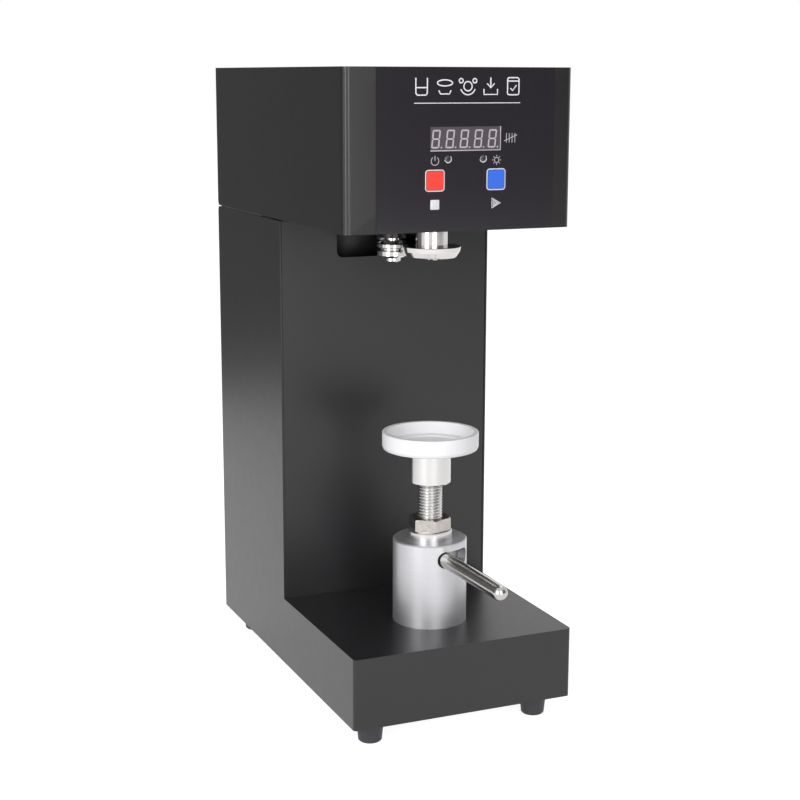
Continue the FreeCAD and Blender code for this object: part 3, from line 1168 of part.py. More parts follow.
for make in (make_feet, make_foot_studs, make_base_plate, make_body_shell, make_column_front_panel,
             make_column_top_plate, make_rear_panel, make_head_cover, make_head_tray, make_cover_screws,
             make_control_overlay, make_display_module, make_lamps, make_keys, make_control_board,
             make_board_standoffs, make_head_plate, make_head_plate_bolts, make_spindle_housing,
             make_spindle_bearings, make_spindle, make_seaming_chuck, make_chuck_screw, make_pulleys,
             make_drive_belt, make_drive_motor, make_motor_shaft, make_roll_lever, make_lever_pivot_post,
             make_pivot_nut, make_seaming_rolls, make_roll_pins, make_lever_drive, make_lift_cylinder,
             make_lift_mount, make_cam_sleeve, make_lift_handle, make_lift_piston, make_height_screw,
             make_lock_nut, make_tray_bearing, make_tray_hub, make_can_tray, make_power_inlet,
             make_power_switch, make_power_rocker, make_drive_controller):
    make()
write_files()
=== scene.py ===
import bmesh
import bpy
import math
from mathutils import Matrix, Vector


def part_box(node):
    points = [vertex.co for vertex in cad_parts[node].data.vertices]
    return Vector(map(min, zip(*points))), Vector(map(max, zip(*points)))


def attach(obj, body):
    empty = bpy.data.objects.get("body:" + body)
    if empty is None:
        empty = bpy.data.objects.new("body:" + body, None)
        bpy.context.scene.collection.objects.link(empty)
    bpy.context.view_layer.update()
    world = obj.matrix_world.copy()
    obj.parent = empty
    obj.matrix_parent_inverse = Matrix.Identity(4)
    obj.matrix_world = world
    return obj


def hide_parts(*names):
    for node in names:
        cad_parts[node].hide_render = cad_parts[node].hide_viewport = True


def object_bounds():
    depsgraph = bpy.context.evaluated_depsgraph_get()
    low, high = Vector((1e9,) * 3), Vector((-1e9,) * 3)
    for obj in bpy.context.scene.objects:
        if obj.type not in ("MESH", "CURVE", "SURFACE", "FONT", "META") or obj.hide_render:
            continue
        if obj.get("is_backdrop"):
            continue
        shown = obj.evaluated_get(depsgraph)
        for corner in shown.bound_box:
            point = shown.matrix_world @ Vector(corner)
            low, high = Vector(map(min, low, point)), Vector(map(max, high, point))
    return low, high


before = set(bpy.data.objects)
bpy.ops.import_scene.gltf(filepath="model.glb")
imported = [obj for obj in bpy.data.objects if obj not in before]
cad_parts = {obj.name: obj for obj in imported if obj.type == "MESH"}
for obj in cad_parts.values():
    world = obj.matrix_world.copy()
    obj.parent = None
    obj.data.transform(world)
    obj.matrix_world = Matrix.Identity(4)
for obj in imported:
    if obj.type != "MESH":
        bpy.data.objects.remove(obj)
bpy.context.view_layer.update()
MM = 0.001

# ---- Camera
# The machine is seen from its front left, a little above the head, with a short telephoto
# lens from about a metre and a quarter. Its place is measured from the spindle axis at floor level.
chuck_low, chuck_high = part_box("seaming_chuck")
axis = Vector(((chuck_low.x + chuck_high.x) / 2, (chuck_low.y + chuck_high.y) / 2, 0))
CAMERA_FROM_AXIS = Vector((-519.5, -1138.3, 511.2)) * MM
CAMERA_YAW = math.radians(23.41)
CAMERA_PITCH = math.radians(11.45)
CAMERA_ROLL = math.radians(0.145)
camera_data = bpy.data.cameras.new("camera")
camera_data.lens = 71.96
camera_data.sensor_width = 36
camera_data.clip_end = 50
camera = bpy.data.objects.new("camera", camera_data)
camera.matrix_world = (
    Matrix.Translation(axis + CAMERA_FROM_AXIS)
    @ Matrix.Rotation(-CAMERA_YAW, 4, "Z")
    @ Matrix.Rotation(math.pi / 2 - CAMERA_PITCH, 4, "X")
    @ Matrix.Rotation(CAMERA_ROLL, 4, "Z")
)
bpy.context.scene.collection.objects.link(camera)
bpy.context.scene.camera = camera
bpy.context.scene.view_settings.view_transform = "Standard"


# ---- Floor, background and light
# A pale sweep under soft studio light: two tall soft boxes left and right of the camera, a
# weaker one above and an even pale surround. The background reads as white.
class Field:
    """One shader socket; an expression on it adds its Math nodes."""

    def __init__(self, finish, socket):
        self.finish = finish
        self.socket = socket

    def math(self, operation, *values, **settings):
        return self.finish.add("ShaderNodeMath", {"operation": operation, **settings}, *values)

    def __add__(self, other):
        return self.math("ADD", self, other)

    def __sub__(self, other):
        return self.math("SUBTRACT", self, other)

    def __mul__(self, other):
        return self.math("MULTIPLY", self, other)

    def __truediv__(self, other):
        return self.math("DIVIDE", self, other)

    def __pow__(self, other):
        return self.math("POWER", self, other)

    def __rsub__(self, other):
        return self.math("SUBTRACT", other, self)

    __radd__ = __add__
    __rmul__ = __mul__


class Finish:
    """A node material under construction, with one Principled shader."""

    def __init__(self, name, color=(0.5, 0.5, 0.5), rough=0.5, metal=0.0, **shader):
        self.material = bpy.data.materials.new(name)
        self.material.use_nodes = True
        self.tree = self.material.node_tree
        self.shader = self.tree.nodes["Principled BSDF"]
        self.set("Base Color", (*color, 1))
        self.set("Roughness", rough)
        self.set("Metallic", metal)
        for label, value in shader.items():
            self.set(label.replace("_", " "), value)

    def add(self, kind, settings, *values, out=0, **named):
        """A node with its settings made first, then its inputs by order or by name."""
        node = self.tree.nodes.new(kind)
        for key, value in settings.items():
            setattr(node, key, value)
        inputs = list(enumerate(values)) + [(key.replace("_", " "), value) for key, value in named.items()]
        for key, value in inputs:
            self.plug(node.inputs[key], value)
        return Field(self, node.outputs[out])

    def plug(self, target, value):
        if isinstance(value, Field):
            self.tree.links.new(value.socket, target)
        else:
            target.default_value = value

    def set(self, label, value):
        self.plug(self.shader.inputs[label], value)
        return self

    def place(self, stretch=(1, 1, 1), centre=(0, 0, 0)):
        """Object coordinates about a centre, stretched along each axis."""
        coordinates = self.add("ShaderNodeTexCoord", {}, out=3)
        return self.add("ShaderNodeMapping", {}, coordinates,
                        Location=[-c * s for c, s in zip(centre, stretch)], Scale=stretch)

    def noise(self, size, detail=3.0, stretch=(1, 1, 1), centre=(0, 0, 0)):
        """Noise between 0 and 1 with features of about `size` metres."""
        return self.add("ShaderNodeTexNoise", {}, Vector=self.place(stretch, centre),
                        Scale=1 / size, Detail=detail)

    def mixed(self, share, low, high):
        """A colour mixed from low to high by a field from 0 to 1."""
        node = self.tree.nodes.new("ShaderNodeMix")
        node.data_type = "RGBA"
        self.plug(node.inputs[0], share)
        self.plug(node.inputs[6], low if isinstance(low, Field) else (*low, 1))
        self.plug(node.inputs[7], high if isinstance(high, Field) else (*high, 1))
        return Field(self, node.outputs[2])

    def bump(self, height, depth):
        """Turns a field into relief `depth` metres deep."""
        return self.set("Normal", self.add("ShaderNodeBump", {}, Strength=1.0, Distance=depth, Height=height))


SWEEP_SIZE = 24.0
SWEEP_GREY = 0.6
SWEEP_WHITE = 0.78


def seen_rays(finish):
    """1 for what the camera, a reflection or clear glass sees, 0 for what lights the machine."""
    path = finish.tree.nodes.new("ShaderNodeLightPath")
    wanted = [Field(finish, path.outputs[name]) for name in
              ("Is Camera Ray", "Is Glossy Ray", "Is Transmission Ray")]
    return wanted[0].math("MINIMUM", wanted[0] + wanted[1] + wanted[2], 1.0)


sweep_mesh = bmesh.new()
bmesh.ops.create_grid(sweep_mesh, x_segments=1, y_segments=1, size=SWEEP_SIZE / 2)
sweep_data = bpy.data.meshes.new("floor_sweep")
sweep_mesh.to_mesh(sweep_data)
sweep_mesh.free()
sweep = bpy.data.objects.new("floor_sweep", sweep_data)
bpy.context.scene.collection.objects.link(sweep)
sweep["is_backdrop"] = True
pale = Finish("pale_sweep", (SWEEP_GREY,) * 3, 0.9, Specular_IOR_Level=0.1)
pale.set("Base Color", pale.mixed(pale.noise(0.6), (SWEEP_GREY,) * 3, (SWEEP_GREY * 1.02,) * 3))
pale.set("Emission Color", (1, 1, 1, 1)).set("Emission Strength", seen_rays(pale) * SWEEP_WHITE)
sweep_data.materials.append(pale.material)

SURROUND = 0.42


class Sky(Finish):
    """The world's own nodes, with its background in place of a shader."""

    def __init__(self, world):
        self.material = world
        world.use_nodes = True
        self.tree = world.node_tree
        self.shader = self.tree.nodes["Background"]


surround = bpy.data.worlds.new("surround")
bpy.context.scene.world = surround
sky = Sky(surround)
sky.set("Color", (1, 1, 1, 1)).set("Strength", seen_rays(sky) * (1 - SURROUND) + SURROUND)


def flag(name, turn, distance, low, high, wide, grey):
    """A dark card that only reflections see, as photographers stand beside glossy black things."""
    card_mesh = bmesh.new()
    bmesh.ops.create_grid(card_mesh, x_segments=1, y_segments=1, size=0.5)
    spot = axis + Vector((distance * math.sin(turn), -distance * math.cos(turn), (low + high) / 2))
    upright = Matrix.Rotation(turn, 4, "Z") @ Matrix.Rotation(math.pi / 2, 4, "X")
    bmesh.ops.transform(card_mesh, verts=card_mesh.verts,
                        matrix=Matrix.Translation(spot) @ upright @ Matrix.Diagonal((wide, high - low, 1, 1)))
    card_data = bpy.data.meshes.new(name)
    card_mesh.to_mesh(card_data)
    card_mesh.free()
    card = bpy.data.objects.new(name, card_data)
    bpy.context.scene.collection.objects.link(card)
    card_finish = Finish(name + "_cloth", (0, 0, 0), 1.0, Specular_IOR_Level=0.0)
    card_finish.set("Emission Color", (1, 1, 1, 1)).set("Emission Strength", grey)
    card_data.materials.append(card_finish.material)
    card.visible_camera = False
    card.visible_diffuse = False
    card.visible_transmission = False
    card.visible_volume_scatter = False
    card.visible_shadow = False
    card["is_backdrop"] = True


flag("back_left_flag", math.radians(-145), 1.3, 0.0, 2.2, 2.4, 0.2)
flag("front_right_flag", math.radians(42), 2.3, 0.16, 2.2, 2.4, 0.22)


def soft_box(name, turn, distance, height, wide, tall, power):
    """A soft box aimed at the middle of the machine; turn is counted from straight in front."""
    data = bpy.data.lights.new(name, "AREA")
    data.shape = "RECTANGLE"
    data.size = wide
    data.size_y = tall
    data.energy = power
    lamp = bpy.data.objects.new(name, data)
    place = axis + Vector((distance * math.sin(turn), -distance * math.cos(turn), height))
    aim = axis + Vector((0, 0, 0.26)) - place
    lamp.matrix_world = Matrix.Translation(place) @ aim.to_track_quat("-Z", "Y").to_matrix().to_4x4()
    bpy.context.scene.collection.objects.link(lamp)


soft_box("left_box", math.radians(-60), 1.7, 0.75, 0.75, 1.3, 17)
soft_box("right_box", math.radians(-4), 1.9, 0.75, 0.85, 1.3, 15)
soft_box("top_box", math.radians(150), 0.9, 1.9, 1.2, 1.2, 8)


# ---- Folded sheet-metal case
# Base and column sides, head cover, head floor and the two screwed panels are folded from
# thin steel and powder coated black, with a fine grain and softly rounded folds.
def dress(finish, *nodes):
    """Gives whole CAD nodes a finish."""
    for name in nodes:
        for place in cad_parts[name].material_slots:
            place.material = finish.material


def add_piece(name, mesh, finish, body):
    """Makes a finished bmesh an object that rides on a body."""
    data = bpy.data.meshes.new(name)
    mesh.to_mesh(data)
    mesh.free()
    data.materials.append(finish.material)
    piece = bpy.data.objects.new(name, data)
    bpy.context.scene.collection.objects.link(piece)
    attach(piece, body)
    return piece


def softened(node, width, finish, body, segments=3):
    """Stands for a CAD node: its own shape with every sharp edge rounded."""
    mesh = bmesh.new()
    mesh.from_mesh(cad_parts[node].data)
    bmesh.ops.remove_doubles(mesh, verts=mesh.verts, dist=0.002 * MM)
    bmesh.ops.dissolve_limit(mesh, angle_limit=math.radians(1), verts=mesh.verts, edges=mesh.edges)
    piece = add_piece(node + "_soft", mesh, finish, body)
    rounding = piece.modifiers.new("rounding", "BEVEL")
    rounding.width = width
    rounding.segments = segments
    rounding.limit_method = "ANGLE"
    rounding.angle_limit = math.radians(40)
    rounding.harden_normals = True
    for face in piece.data.polygons:
        face.use_smooth = True
    piece.data.set_sharp_from_angle(angle=math.radians(30))
    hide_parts(node)
    return piece


def powder_coat(name, dark, light, rough, grain=0.00035):
    """Black powder coat: slightly uneven tone over a fine orange-peel grain."""
    coat = Finish(name, dark, rough, Specular_IOR_Level=0.5)
    coat.set("Base Color", coat.mixed(coat.noise(0.05), dark, light))
    coat.set("Roughness", coat.noise(0.012) * 0.06 + (rough - 0.03))
    return coat.bump(coat.noise(grain, 2.0), 0.000012)


case_black = powder_coat("case_black", (0.011, 0.0105, 0.012), (0.014, 0.0135, 0.015), 0.34)
head_black = powder_coat("head_black", (0.009, 0.008, 0.009), (0.012, 0.0105, 0.012), 0.32)
FOLD = 0.5 * MM
softened("body_shell", FOLD, case_black, "machine")
softened("column_front_panel", 0.3 * MM, case_black, "machine")
softened("head_cover", FOLD, head_black, "machine")
softened("head_tray", 0.3 * MM, head_black, "machine")
softened("rear_panel", 0.2 * MM, case_black, "machine", 2)
dress(case_black, "body_shell", "column_front_panel", "rear_panel")
dress(head_black, "head_cover", "head_tray")

# ---- Base plate and feet
# A zinc-plated plate closes the base from below; four moulded rubber feet stand under it,
# each on a steel stud with a nut inside.
zinc = Finish("zinc", (0.42, 0.43, 0.45), 0.42, 0.9)
zinc.set("Base Color", zinc.mixed(zinc.noise(0.004), (0.36, 0.37, 0.39), (0.5, 0.5, 0.5)))
zinc.bump(zinc.noise(0.002), 0.00001)
dress(zinc, "base_plate", "foot_studs", "column_top_plate", "board_standoffs", "head_plate_bolts",
      "lift_mount_plate")
FEET = ("foot_front_left", "foot_front_right", "foot_rear_left", "foot_rear_right")
rubber = Finish("foot_rubber", (0.030, 0.029, 0.036), 0.55)
rubber.set("Base Color", rubber.mixed(rubber.noise(0.003), (0.022, 0.021, 0.028), (0.036, 0.034, 0.044)))
rubber.bump(rubber.noise(0.0006), 0.00003)
dress(rubber, *FEET)

# ---- Control overlay and its printing
# A glossy black film covers most of the head's front. Signs are printed on it in white; they
# are plain pictures, with nothing lettered, and each is a very thin layer on the film.
film = Finish("overlay_film", (0.010, 0.008, 0.013), 0.2, Coat_Weight=0.5, Coat_Roughness=0.08)
film.set("Base Color", film.mixed(film.noise(0.04), (0.008, 0.006, 0.011), (0.012, 0.009, 0.015)))
film.bump(film.noise(0.03), 0.00004)
dress(film, "control_overlay")
# White for the printed signs, and also for the lamps' painted rim highlights.
white_ink_and_highlight = Finish("white_ink_and_highlight", (0.8, 0.79, 0.82), 0.5)
white_ink_and_highlight.set("Base Color", white_ink_and_highlight.mixed(white_ink_and_highlight.noise(0.0008), (0.72, 0.71, 0.75), (0.86, 0.85, 0.87)))

film_low, film_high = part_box("control_overlay")
window_low, window_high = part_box("display_module")
LAYER_THICK = 0.05 * MM


def ink_and_highlight_strokes(name, lines, stroke, finish=None):
    """Lines on the film: printed signs, and the painted highlights of the lamps and the window. Each line is
    (closed, points) in millimetres, x and height.
    """
    curve = bpy.data.curves.new(name, "CURVE")
    curve.dimensions = "3D"
    curve.bevel_depth = stroke * MM / 2
    curve.bevel_resolution = 1
    curve.use_fill_caps = True
    for closed, points in lines:
        line = curve.splines.new("POLY")
        line.points.add(len(points) - 1)
        line.use_cyclic_u = closed
        for knot, (x, height) in zip(line.points, points):
            knot.co = (x * MM, 0, height * MM, 1)
    drawn = bpy.data.objects.new(name + "_curve", curve)
    flat = bpy.data.meshes.new_from_object(drawn)
    bpy.data.objects.remove(drawn)
    mesh = bmesh.new()
    mesh.from_mesh(flat)
    thin = Matrix.Diagonal((1, LAYER_THICK / (stroke * MM), 1, 1))
    bmesh.ops.transform(mesh, matrix=Matrix.Translation((0, film_low.y, 0)) @ thin, verts=mesh.verts)
    bmesh.ops.recalc_face_normals(mesh, faces=mesh.faces)
    return add_piece(name, mesh, finish or white_ink_and_highlight, "machine")


def arc(x, height, radius, start=0, end=360, steps=20):
    """Points on a circle, angles in degrees from the right, counter-clockwise."""
    turns = [math.radians(start + (end - start) * step / steps) for step in range(steps + 1)]
    return [(x + radius * math.cos(turn), height + radius * math.sin(turn)) for turn in turns]


def ring_line(x, height, radius):
    return (True, arc(x, height, radius)[:-1])


def frame_line(x, height, wide, tall, corner):
    """A closed rectangle with round corners about a middle point."""
    points = []
    for turn, side, up in ((0, 1, 1), (90, -1, 1), (180, -1, -1), (270, 1, -1)):
        points += arc(x + side * (wide / 2 - corner), height + up * (tall / 2 - corner),
                      corner, turn, turn + 90, 4)
    return (True, points)


# Row of five pictures above the window: open can, end, seaming, press down, closed can.
TITLE_HIGH = 504.0
TITLE_PITCH = 18.8
TITLE_MIDDLE = 5.0
icon = [TITLE_MIDDLE + TITLE_PITCH * step for step in (-2, -1, 0, 1, 2)]
ink_and_highlight_strokes("title_open_can", [
    (False, [(icon[0] - 4.6, TITLE_HIGH + 6), (icon[0] - 4.6, TITLE_HIGH - 5),
             (icon[0] - 3.4, TITLE_HIGH - 6.4), (icon[0] + 3.4, TITLE_HIGH - 6.4),
             (icon[0] + 4.6, TITLE_HIGH - 5), (icon[0] + 4.6, TITLE_HIGH + 6)]),
    (False, [(icon[0] - 4.6, TITLE_HIGH - 1), (icon[0] + 4.6, TITLE_HIGH - 1)])], 1.1)
ink_and_highlight_strokes("title_can_end", [
    (True, [(icon[1] + 6.2 * math.cos(turn / 10 * math.pi), TITLE_HIGH + 2.4 + 2.2 * math.sin(turn / 10 * math.pi))
            for turn in range(20)]),
    (False, [(icon[1] - 5, TITLE_HIGH - 3), (icon[1] - 3.6, TITLE_HIGH - 5.6),
             (icon[1] + 3.6, TITLE_HIGH - 5.6), (icon[1] + 5, TITLE_HIGH - 3)])], 1.1)
ink_and_highlight_strokes("title_seaming", [
    ring_line(icon[2], TITLE_HIGH, 3.4), ring_line(icon[2] - 5.6, TITLE_HIGH + 4, 1.6),
    ring_line(icon[2] + 5.6, TITLE_HIGH + 4, 1.6),
    (False, arc(icon[2], TITLE_HIGH, 6.2, 200, 340, 12))], 1.1)
ink_and_highlight_strokes("title_press", [
    (False, [(icon[3], TITLE_HIGH + 6.4), (icon[3], TITLE_HIGH - 1)]),
    (False, [(icon[3] - 3, TITLE_HIGH + 2), (icon[3], TITLE_HIGH - 1.2), (icon[3] + 3, TITLE_HIGH + 2)]),
    (False, [(icon[3] - 5.6, TITLE_HIGH - 2), (icon[3] - 5.6, TITLE_HIGH - 6),
             (icon[3] + 5.6, TITLE_HIGH - 6), (icon[3] + 5.6, TITLE_HIGH - 2)])], 1.1)
ink_and_highlight_strokes("title_closed_can", [
    frame_line(icon[4], TITLE_HIGH, 9.6, 12.6, 1.6),
    (False, [(icon[4] - 4.6, TITLE_HIGH + 3.8), (icon[4] + 4.6, TITLE_HIGH + 3.8)]),
    (False, [(icon[4] - 2.4, TITLE_HIGH - 1.4), (icon[4] - 0.6, TITLE_HIGH - 3.2), (icon[4] + 2.6, TITLE_HIGH + 0.8)])], 1.1)
RULE_HIGH = 491.8
ink_and_highlight_strokes("title_rule", [
    (False, [(icon[0] - 6, RULE_HIGH), (icon[4] + 6, RULE_HIGH)])], 0.7)

# Signs beside the counter, the lamps and the keys: tally, mains, work, stop, start.
grey_ink = Finish("grey_ink", (0.5, 0.48, 0.52), 0.5)
grey_ink.set("Base Color", grey_ink.mixed(grey_ink.noise(0.0008), (0.42, 0.4, 0.44), (0.56, 0.54, 0.58)))
SIGN_HIGH = 449.6
ink_and_highlight_strokes("tally_sign", [
    (False, [(x, 462.4), (x, 469.4)]) for x in (37.4, 39.8, 42.2, 44.6)]
    + [(False, [(35.6, 463.6), (46.4, 468.2)])], 0.6, grey_ink)
ink_and_highlight_strokes("mains_sign", [
    (False, arc(-21.5, SIGN_HIGH, 3.1, -235, 55, 18)),
    (False, [(-21.5, SIGN_HIGH + 3.9), (-21.5, SIGN_HIGH + 0.2)])], 0.65, grey_ink)
ink_and_highlight_strokes("work_sign", [ring_line(29.5, SIGN_HIGH, 1.9)] + [
    (False, [(29.5 + 2.6 * math.cos(math.radians(turn)), SIGN_HIGH + 2.6 * math.sin(math.radians(turn))),
             (29.5 + 3.7 * math.cos(math.radians(turn)), SIGN_HIGH + 3.7 * math.sin(math.radians(turn)))])
    for turn in range(0, 360, 45)], 0.65, grey_ink)
KEY_SIGN_HIGH = 417.4
stop_low, stop_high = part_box("stop_button")
start_low, start_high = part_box("start_button")
stop_x = (stop_low.x + stop_high.x) / 2 / MM
start_x = (start_low.x + start_high.x) / 2 / MM
key_high = (stop_low.z + stop_high.z) / 2 / MM
ink_and_highlight_strokes("stop_sign", [
    frame_line(stop_x, KEY_SIGN_HIGH, size, size, 0.3) for size in (6.4, 4.6, 2.8, 1.0)], 1.0)
ink_and_highlight_strokes("start_sign", [
    (True, [(start_x - 0.5 * size, KEY_SIGN_HIGH + 0.58 * size), (start_x + 0.62 * size, KEY_SIGN_HIGH),
            (start_x - 0.5 * size, KEY_SIGN_HIGH - 0.58 * size)]) for size in (6.4, 4.2, 2.0)], 1.0)
OUTLINE = 0.95
for name, x in (("stop_outline", stop_x), ("start_outline", start_x)):
    ink_and_highlight_strokes(name, [frame_line(x, key_high, 15.1, 15.4, 2.1)], OUTLINE)

# ---- Counter display
# Five light segment digits with a point each stand behind a smoky window. A light line along the window's lower and
# right edges is a painted highlight on its lit rim.
smoke = Finish("smoky_window", (0.075, 0.062, 0.072), 0.25, Coat_Weight=0.4, Coat_Roughness=0.1)
smoke.set("Base Color", smoke.mixed(smoke.noise(0.0009), (0.055, 0.045, 0.055), (0.105, 0.088, 0.1)))
dress(smoke, "display_module")
segment_and_highlight_finish = Finish("display_segment_and_highlight", (0.46, 0.42, 0.46), 0.45)
segment_and_highlight_finish.set("Base Color", segment_and_highlight_finish.mixed(
    segment_and_highlight_finish.noise(0.0012), (0.4, 0.36, 0.4), (0.56, 0.52, 0.56)))
DIGIT_COUNT = 5
DIGIT_PITCH = 11.6 * MM
DIGIT_WIDE = 6.6 * MM
DIGIT_TALL = 13.6 * MM
DIGIT_LEAN = math.tan(math.radians(6))
SEGMENT = 1.15 * MM
digits = bmesh.new()
for count in range(DIGIT_COUNT):
    left = window_low.x + 1.2 * MM + count * DIGIT_PITCH
    middle = Vector((left + DIGIT_WIDE / 2, window_low.y, (window_low.z + window_high.z) / 2))
    lean = Matrix(((1, 0, DIGIT_LEAN, 0), (0, 1, 0, 0), (0, 0, 1, 0), (0, 0, 0, 1)))
    bars = [(0, up * (DIGIT_TALL - SEGMENT) / 2, DIGIT_WIDE - 1.4 * SEGMENT, SEGMENT) for up in (-1, 0, 1)]
    bars += [(side * (DIGIT_WIDE - SEGMENT) / 2, up * DIGIT_TALL / 4, SEGMENT, DIGIT_TALL / 2 - 0.9 * SEGMENT)
             for side in (-1, 1) for up in (-1, 1)]
    bars += [(DIGIT_WIDE / 2 + 1.5 * SEGMENT, (SEGMENT - DIGIT_TALL) / 2, SEGMENT, SEGMENT)]
    for across, up, wide, tall in bars:
        size = Matrix.Diagonal((wide, 2 * LAYER_THICK, tall, 1))
        where = Matrix.Translation(middle) @ lean @ Matrix.Translation((across, 0, up))
        bmesh.ops.create_cube(digits, size=1, matrix=where @ size)
bmesh.ops.bevel(digits, geom=list(digits.edges), offset=0.02 * MM, affect="EDGES", segments=1,
                profile=0.5, material=-1)
add_piece("counter_digits", digits, segment_and_highlight_finish, "machine")
# Painted highlight: a light line in the digits' grey along the window's lower and right edges, where its rim catches
# the light.
WINDOW_HIGHLIGHT_STROKE = 1.0
ink_and_highlight_strokes("window_edge", [
    (False, [(window_low.x / MM, window_low.z / MM + 0.4), (window_high.x / MM - 0.3, window_low.z / MM + 0.4),
             (window_high.x / MM - 0.3, window_high.z / MM)])], WINDOW_HIGHLIGHT_STROKE, segment_and_highlight_finish)

# ---- Lamps
# Two clear five-millimetre lamps set in the film, dark when off. Round each is a painted highlight: a bright ring,
# widest at the lower right where the rim of its hole catches the light, with a painted glint there.
lens = Finish("lamp_lens", (0.03, 0.028, 0.034), 0.12, Coat_Weight=0.6)
lens.set("Base Color", lens.mixed(lens.noise(0.002), (0.02, 0.018, 0.024), (0.05, 0.046, 0.054)))
dress(lens, "power_lamp", "work_lamp")
for name in ("power_lamp", "work_lamp"):
    lamp_low, lamp_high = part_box(name)
    lamp_x = (lamp_low.x + lamp_high.x) / 2 / MM
    lamp_high_mm = (lamp_low.z + lamp_high.z) / 2 / MM
    # Painted highlight: the lit rim of the lamp's hole, drawn as a white partial ring and a thicker glint at the
    # lower right.
    ink_and_highlight_strokes(name + "_ring", [(False, arc(lamp_x, lamp_high_mm, 2.75, 195, 400, 16))], 0.55)
    ink_and_highlight_strokes(name + "_glint", [(False, arc(lamp_x, lamp_high_mm, 2.75, 250, 350, 10))], 0.9)

# ---- Keys
# Two square moulded keys, red to stop and blue to start, with rounded corners and a satin
# face, in the film's white outlines.
for node, body, slot, dark, light in (
        ("stop_button", "stop_key", "red_key", (0.86, 0.035, 0.022), (0.93, 0.045, 0.028)),
        ("start_button", "start_key", "blue_key", (0.022, 0.13, 0.70), (0.028, 0.15, 0.78))):
    cap = Finish(node + "_cap", dark, 0.38, Coat_Weight=0.25, Coat_Roughness=0.2)
    cap.set("Base Color", cap.mixed(cap.noise(0.004), dark, light))
    cap.bump(cap.noise(0.0004), 0.000008)
    softened(node, 0.25 * MM, cap, body)
    dress(cap, node)


# ---- Spindle and chuck
# The chuck hangs on a ground 25 mm spindle. Both are polished tool steel that was turned, so
# fine rings run round them; a socket screw holds the chuck from below.
def turned_metal(name, dark, light, rough, ring_size, depth, centre, metal=1.0, spread=0.05):
    """Bare turned metal: rings along the axis, with the tone drifting a little around it."""
    metal_finish = Finish(name, dark, rough, metal)
    along = metal_finish.noise(ring_size, 2.0, (0.02, 0.02, 1), centre)
    around = metal_finish.noise(0.02, 3.0, (1, 1, 0.1), centre)
    metal_finish.set("Base Color", metal_finish.mixed(along * 0.5 + around * 0.5, dark, light))
    metal_finish.set("Roughness", along * spread + around * spread + (rough - spread))
    return metal_finish.bump(along, depth)


spindle_steel = turned_metal("spindle_steel", (0.52, 0.5, 0.49), (0.68, 0.66, 0.65), 0.14, 0.0004,
                             0.000004, axis)
dress(spindle_steel, "spindle", "seaming_chuck")
screw_steel = turned_metal("screw_steel", (0.34, 0.34, 0.35), (0.5, 0.5, 0.5), 0.3, 0.0008, 0.00001, axis)
dress(screw_steel, "chuck_screw", "tray_screw", "lift_screws", "cover_screws", "piston_guide_pins")

# ---- Roll lever and seaming rolls
# A blackened steel rocker carries both rolls on shoulder bolts. The rolls are hardened and
# polished, with a seaming groove; the pivot post, its nut and washer are bright steel.
blackened = Finish("blackened_steel", (0.02, 0.02, 0.022), 0.34, 0.6)
blackened.set("Base Color", blackened.mixed(blackened.noise(0.006), (0.014, 0.014, 0.016), (0.035, 0.034, 0.036)))
blackened.bump(blackened.noise(0.0008), 0.000012)
dress(blackened, "roll_lever")
roll_steel = turned_metal("roll_steel", (0.56, 0.54, 0.53), (0.72, 0.7, 0.68), 0.12, 0.0005, 0.000004, axis)
dress(roll_steel, "first_seaming_roll", "second_seaming_roll", "roll_pins", "lever_pivot_post", "pivot_nut",
      "lever_pinion")

# ---- Lift housing
# Bored and turned from 60 mm aluminium bar, then brushed to a satin finish; the piston's
# collar and the cam sleeve in the slot are turned too.
satin_aluminium = turned_metal("satin_aluminium", (0.47, 0.47, 0.49), (0.62, 0.62, 0.64), 0.44, 0.0011,
                               0.000012, axis, 0.92, 0.06)
dress(satin_aluminium, "lift_cylinder")
collar_metal = turned_metal("collar_metal", (0.52, 0.5, 0.5), (0.68, 0.67, 0.67), 0.26, 0.0005, 0.000008, axis)
dress(collar_metal, "lift_piston", "tray_hub")
sleeve_steel = turned_metal("sleeve_steel", (0.2, 0.2, 0.21), (0.3, 0.3, 0.31), 0.35, 0.001, 0.00001, axis)
dress(sleeve_steel, "cam_sleeve")

# ---- Lift handle
# Stainless rod polished along its length, so its reflections break into long streaks, with
# a domed end.
handle_low, handle_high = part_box("lift_handle")
handle_steel = Finish("handle_steel", (0.5, 0.48, 0.46), 0.2, 1.0)
streaks = handle_steel.noise(0.0012, 4.0, (1, 0.03, 1), handle_low)
handle_steel.set("Base Color", handle_steel.mixed(streaks, (0.3, 0.29, 0.27), (0.66, 0.64, 0.62)))
handle_steel.set("Roughness", streaks * 0.2 + 0.1)
handle_steel.bump(streaks, 0.00002)
dress(handle_steel, "lift_handle")

# ---- Height screw and lock nut
# An M20 screw with a coarse rolled thread, and a nickel-plated hexagon lock nut under it.
THREAD_PITCH = 2.5 * MM
THREAD_DEPTH = 1.35 * MM
THREAD_STEPS = 36
rod_low, rod_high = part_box("height_screw")
bearing_low, bearing_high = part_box("tray_bearing")
crest = (rod_high.x - rod_low.x) / 2
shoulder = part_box("tray_hub")[0].z - 0.3 * MM
thread_low = rod_low.z + THREAD_PITCH
turns = math.ceil((shoulder - thread_low) / THREAD_PITCH) + 2
thread = bmesh.new()
section = [(crest - THREAD_DEPTH, 0.0), (crest - 0.06 * MM, 0.42), (crest - 0.06 * MM, 0.58), (crest - THREAD_DEPTH, 1.0)]
chain = [thread.verts.new(axis + Vector((radius, 0, thread_low + (share - 1) * THREAD_PITCH)))
         for radius, share in section]
links = [thread.edges.new(pair) for pair in zip(chain, chain[1:])]
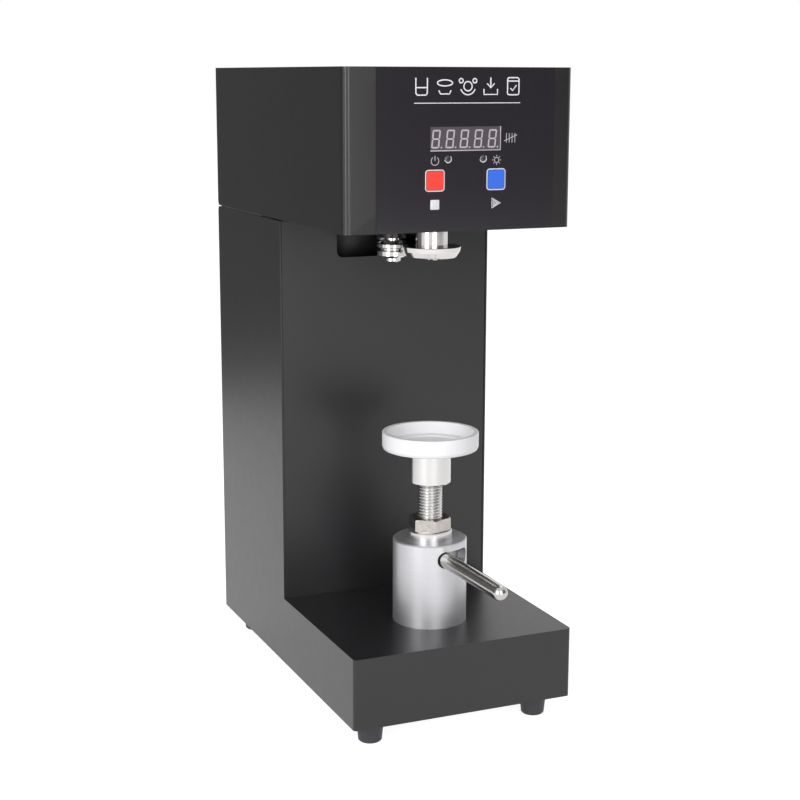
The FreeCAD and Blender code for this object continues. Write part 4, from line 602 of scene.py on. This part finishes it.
bmesh.ops.spin(thread, geom=chain + links, cent=axis, axis=(0, 0, 1), angle=turns * math.tau,
               steps=turns * THREAD_STEPS, dvec=(0, 0, THREAD_PITCH / THREAD_STEPS), use_duplicate=False)
bmesh.ops.remove_doubles(thread, verts=thread.verts, dist=0.01 * MM)
for height, upward in ((thread_low, -1), (shoulder, 1)):
    bmesh.ops.bisect_plane(thread, geom=thread.verts[:] + thread.edges[:] + thread.faces[:],
                           plane_co=(0, 0, height), plane_no=(0, 0, upward), clear_outer=True)
    rim = [edge for edge in thread.edges if edge.is_boundary
           and all(abs(vert.co.z - height) < 0.001 * MM for vert in edge.verts)]
    bmesh.ops.edgeloop_fill(thread, edges=rim)
bmesh.ops.recalc_face_normals(thread, faces=thread.faces)
for low, high, radius in ((rod_low.z, thread_low, crest - THREAD_DEPTH), (shoulder, rod_high.z, 5.95 * MM)):
    spigot = Matrix.Translation(axis + Vector((0, 0, (low + high) / 2)))
    bmesh.ops.create_cone(thread, cap_ends=True, segments=48, radius1=radius, radius2=radius,
                          depth=high - low, matrix=spigot)
thread_steel = turned_metal("thread_steel", (0.5, 0.49, 0.48), (0.72, 0.71, 0.7), 0.24, 0.0006, 0.00001, axis)
dress(thread_steel, "height_screw")
thread_piece = add_piece("thread_rod", thread, thread_steel, "adjusting_screw")
for face in thread_piece.data.polygons:
    face.use_smooth = True
thread_piece.data.set_sharp_from_angle(angle=math.radians(25))
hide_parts("height_screw")
nickel = Finish("nickel_plate", (0.42, 0.38, 0.36), 0.22, 1.0)
nickel.set("Base Color", nickel.mixed(nickel.noise(0.003), (0.32, 0.29, 0.27), (0.55, 0.51, 0.48)))
nickel.bump(nickel.noise(0.0015), 0.00002)
softened("lock_nut", 0.4 * MM, nickel, "jam_nut")
dress(nickel, "lock_nut")

# ---- Can tray
# Turned from white acetal: a raised rim round a stepped recess, slightly matt with faint
# turning rings on its floor.
tray_low, tray_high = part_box("can_tray")
acetal = Finish("white_acetal", (0.86, 0.85, 0.87), 0.4, Specular_IOR_Level=0.4)
acetal.set("Base Color", acetal.mixed(acetal.noise(0.02), (0.84, 0.83, 0.855), (0.885, 0.88, 0.895)))
acetal.bump(acetal.noise(0.0006, 2.0, (0.05, 0.05, 1), axis), 0.000006)
dress(acetal, "can_tray")

# ---- Parts inside the case
# Cast and turned machine parts, painted motors, a rubber belt and a coated circuit board;
# they show only through the louvres, the column cut-out and the gap round the spindle.
ground_steel = turned_metal("ground_steel", (0.4, 0.4, 0.41), (0.55, 0.55, 0.55), 0.3, 0.001, 0.00001, axis)
dress(ground_steel, "head_plate", "spindle_housing", "lower_spindle_bearing", "upper_spindle_bearing",
      "motor_shaft", "tray_bearing")
pulley_aluminium = turned_metal("pulley_aluminium", (0.55, 0.55, 0.56), (0.7, 0.7, 0.71), 0.35, 0.001, 0.00001, axis)
dress(pulley_aluminium, "spindle_pulley", "motor_pulley", "drive_controller")
motor_enamel = powder_coat("motor_enamel", (0.05, 0.05, 0.055), (0.065, 0.065, 0.07), 0.4)
dress(motor_enamel, "drive_motor", "lever_motor")
belt_rubber = Finish("belt_rubber", (0.02, 0.02, 0.02), 0.8)
belt_rubber.bump(belt_rubber.noise(0.0007), 0.00004)
dress(belt_rubber, "drive_belt")
board_green = Finish("board_green", (0.02, 0.12, 0.05), 0.4)
board_green.set("Base Color", board_green.mixed(board_green.noise(0.0015), (0.015, 0.09, 0.04), (0.03, 0.16, 0.07)))
dress(board_green, "control_board")

# ---- Rear fittings
# Moulded black appliance inlet and rocker switch, with a fine spark-eroded texture.
moulded = Finish("moulded_black", (0.02, 0.02, 0.021), 0.45)
moulded.set("Base Color", moulded.mixed(moulded.noise(0.004), (0.016, 0.016, 0.017), (0.028, 0.028, 0.029)))
moulded.bump(moulded.noise(0.0003), 0.00002)
dress(moulded, "power_inlet", "power_switch", "power_rocker")

low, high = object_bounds()
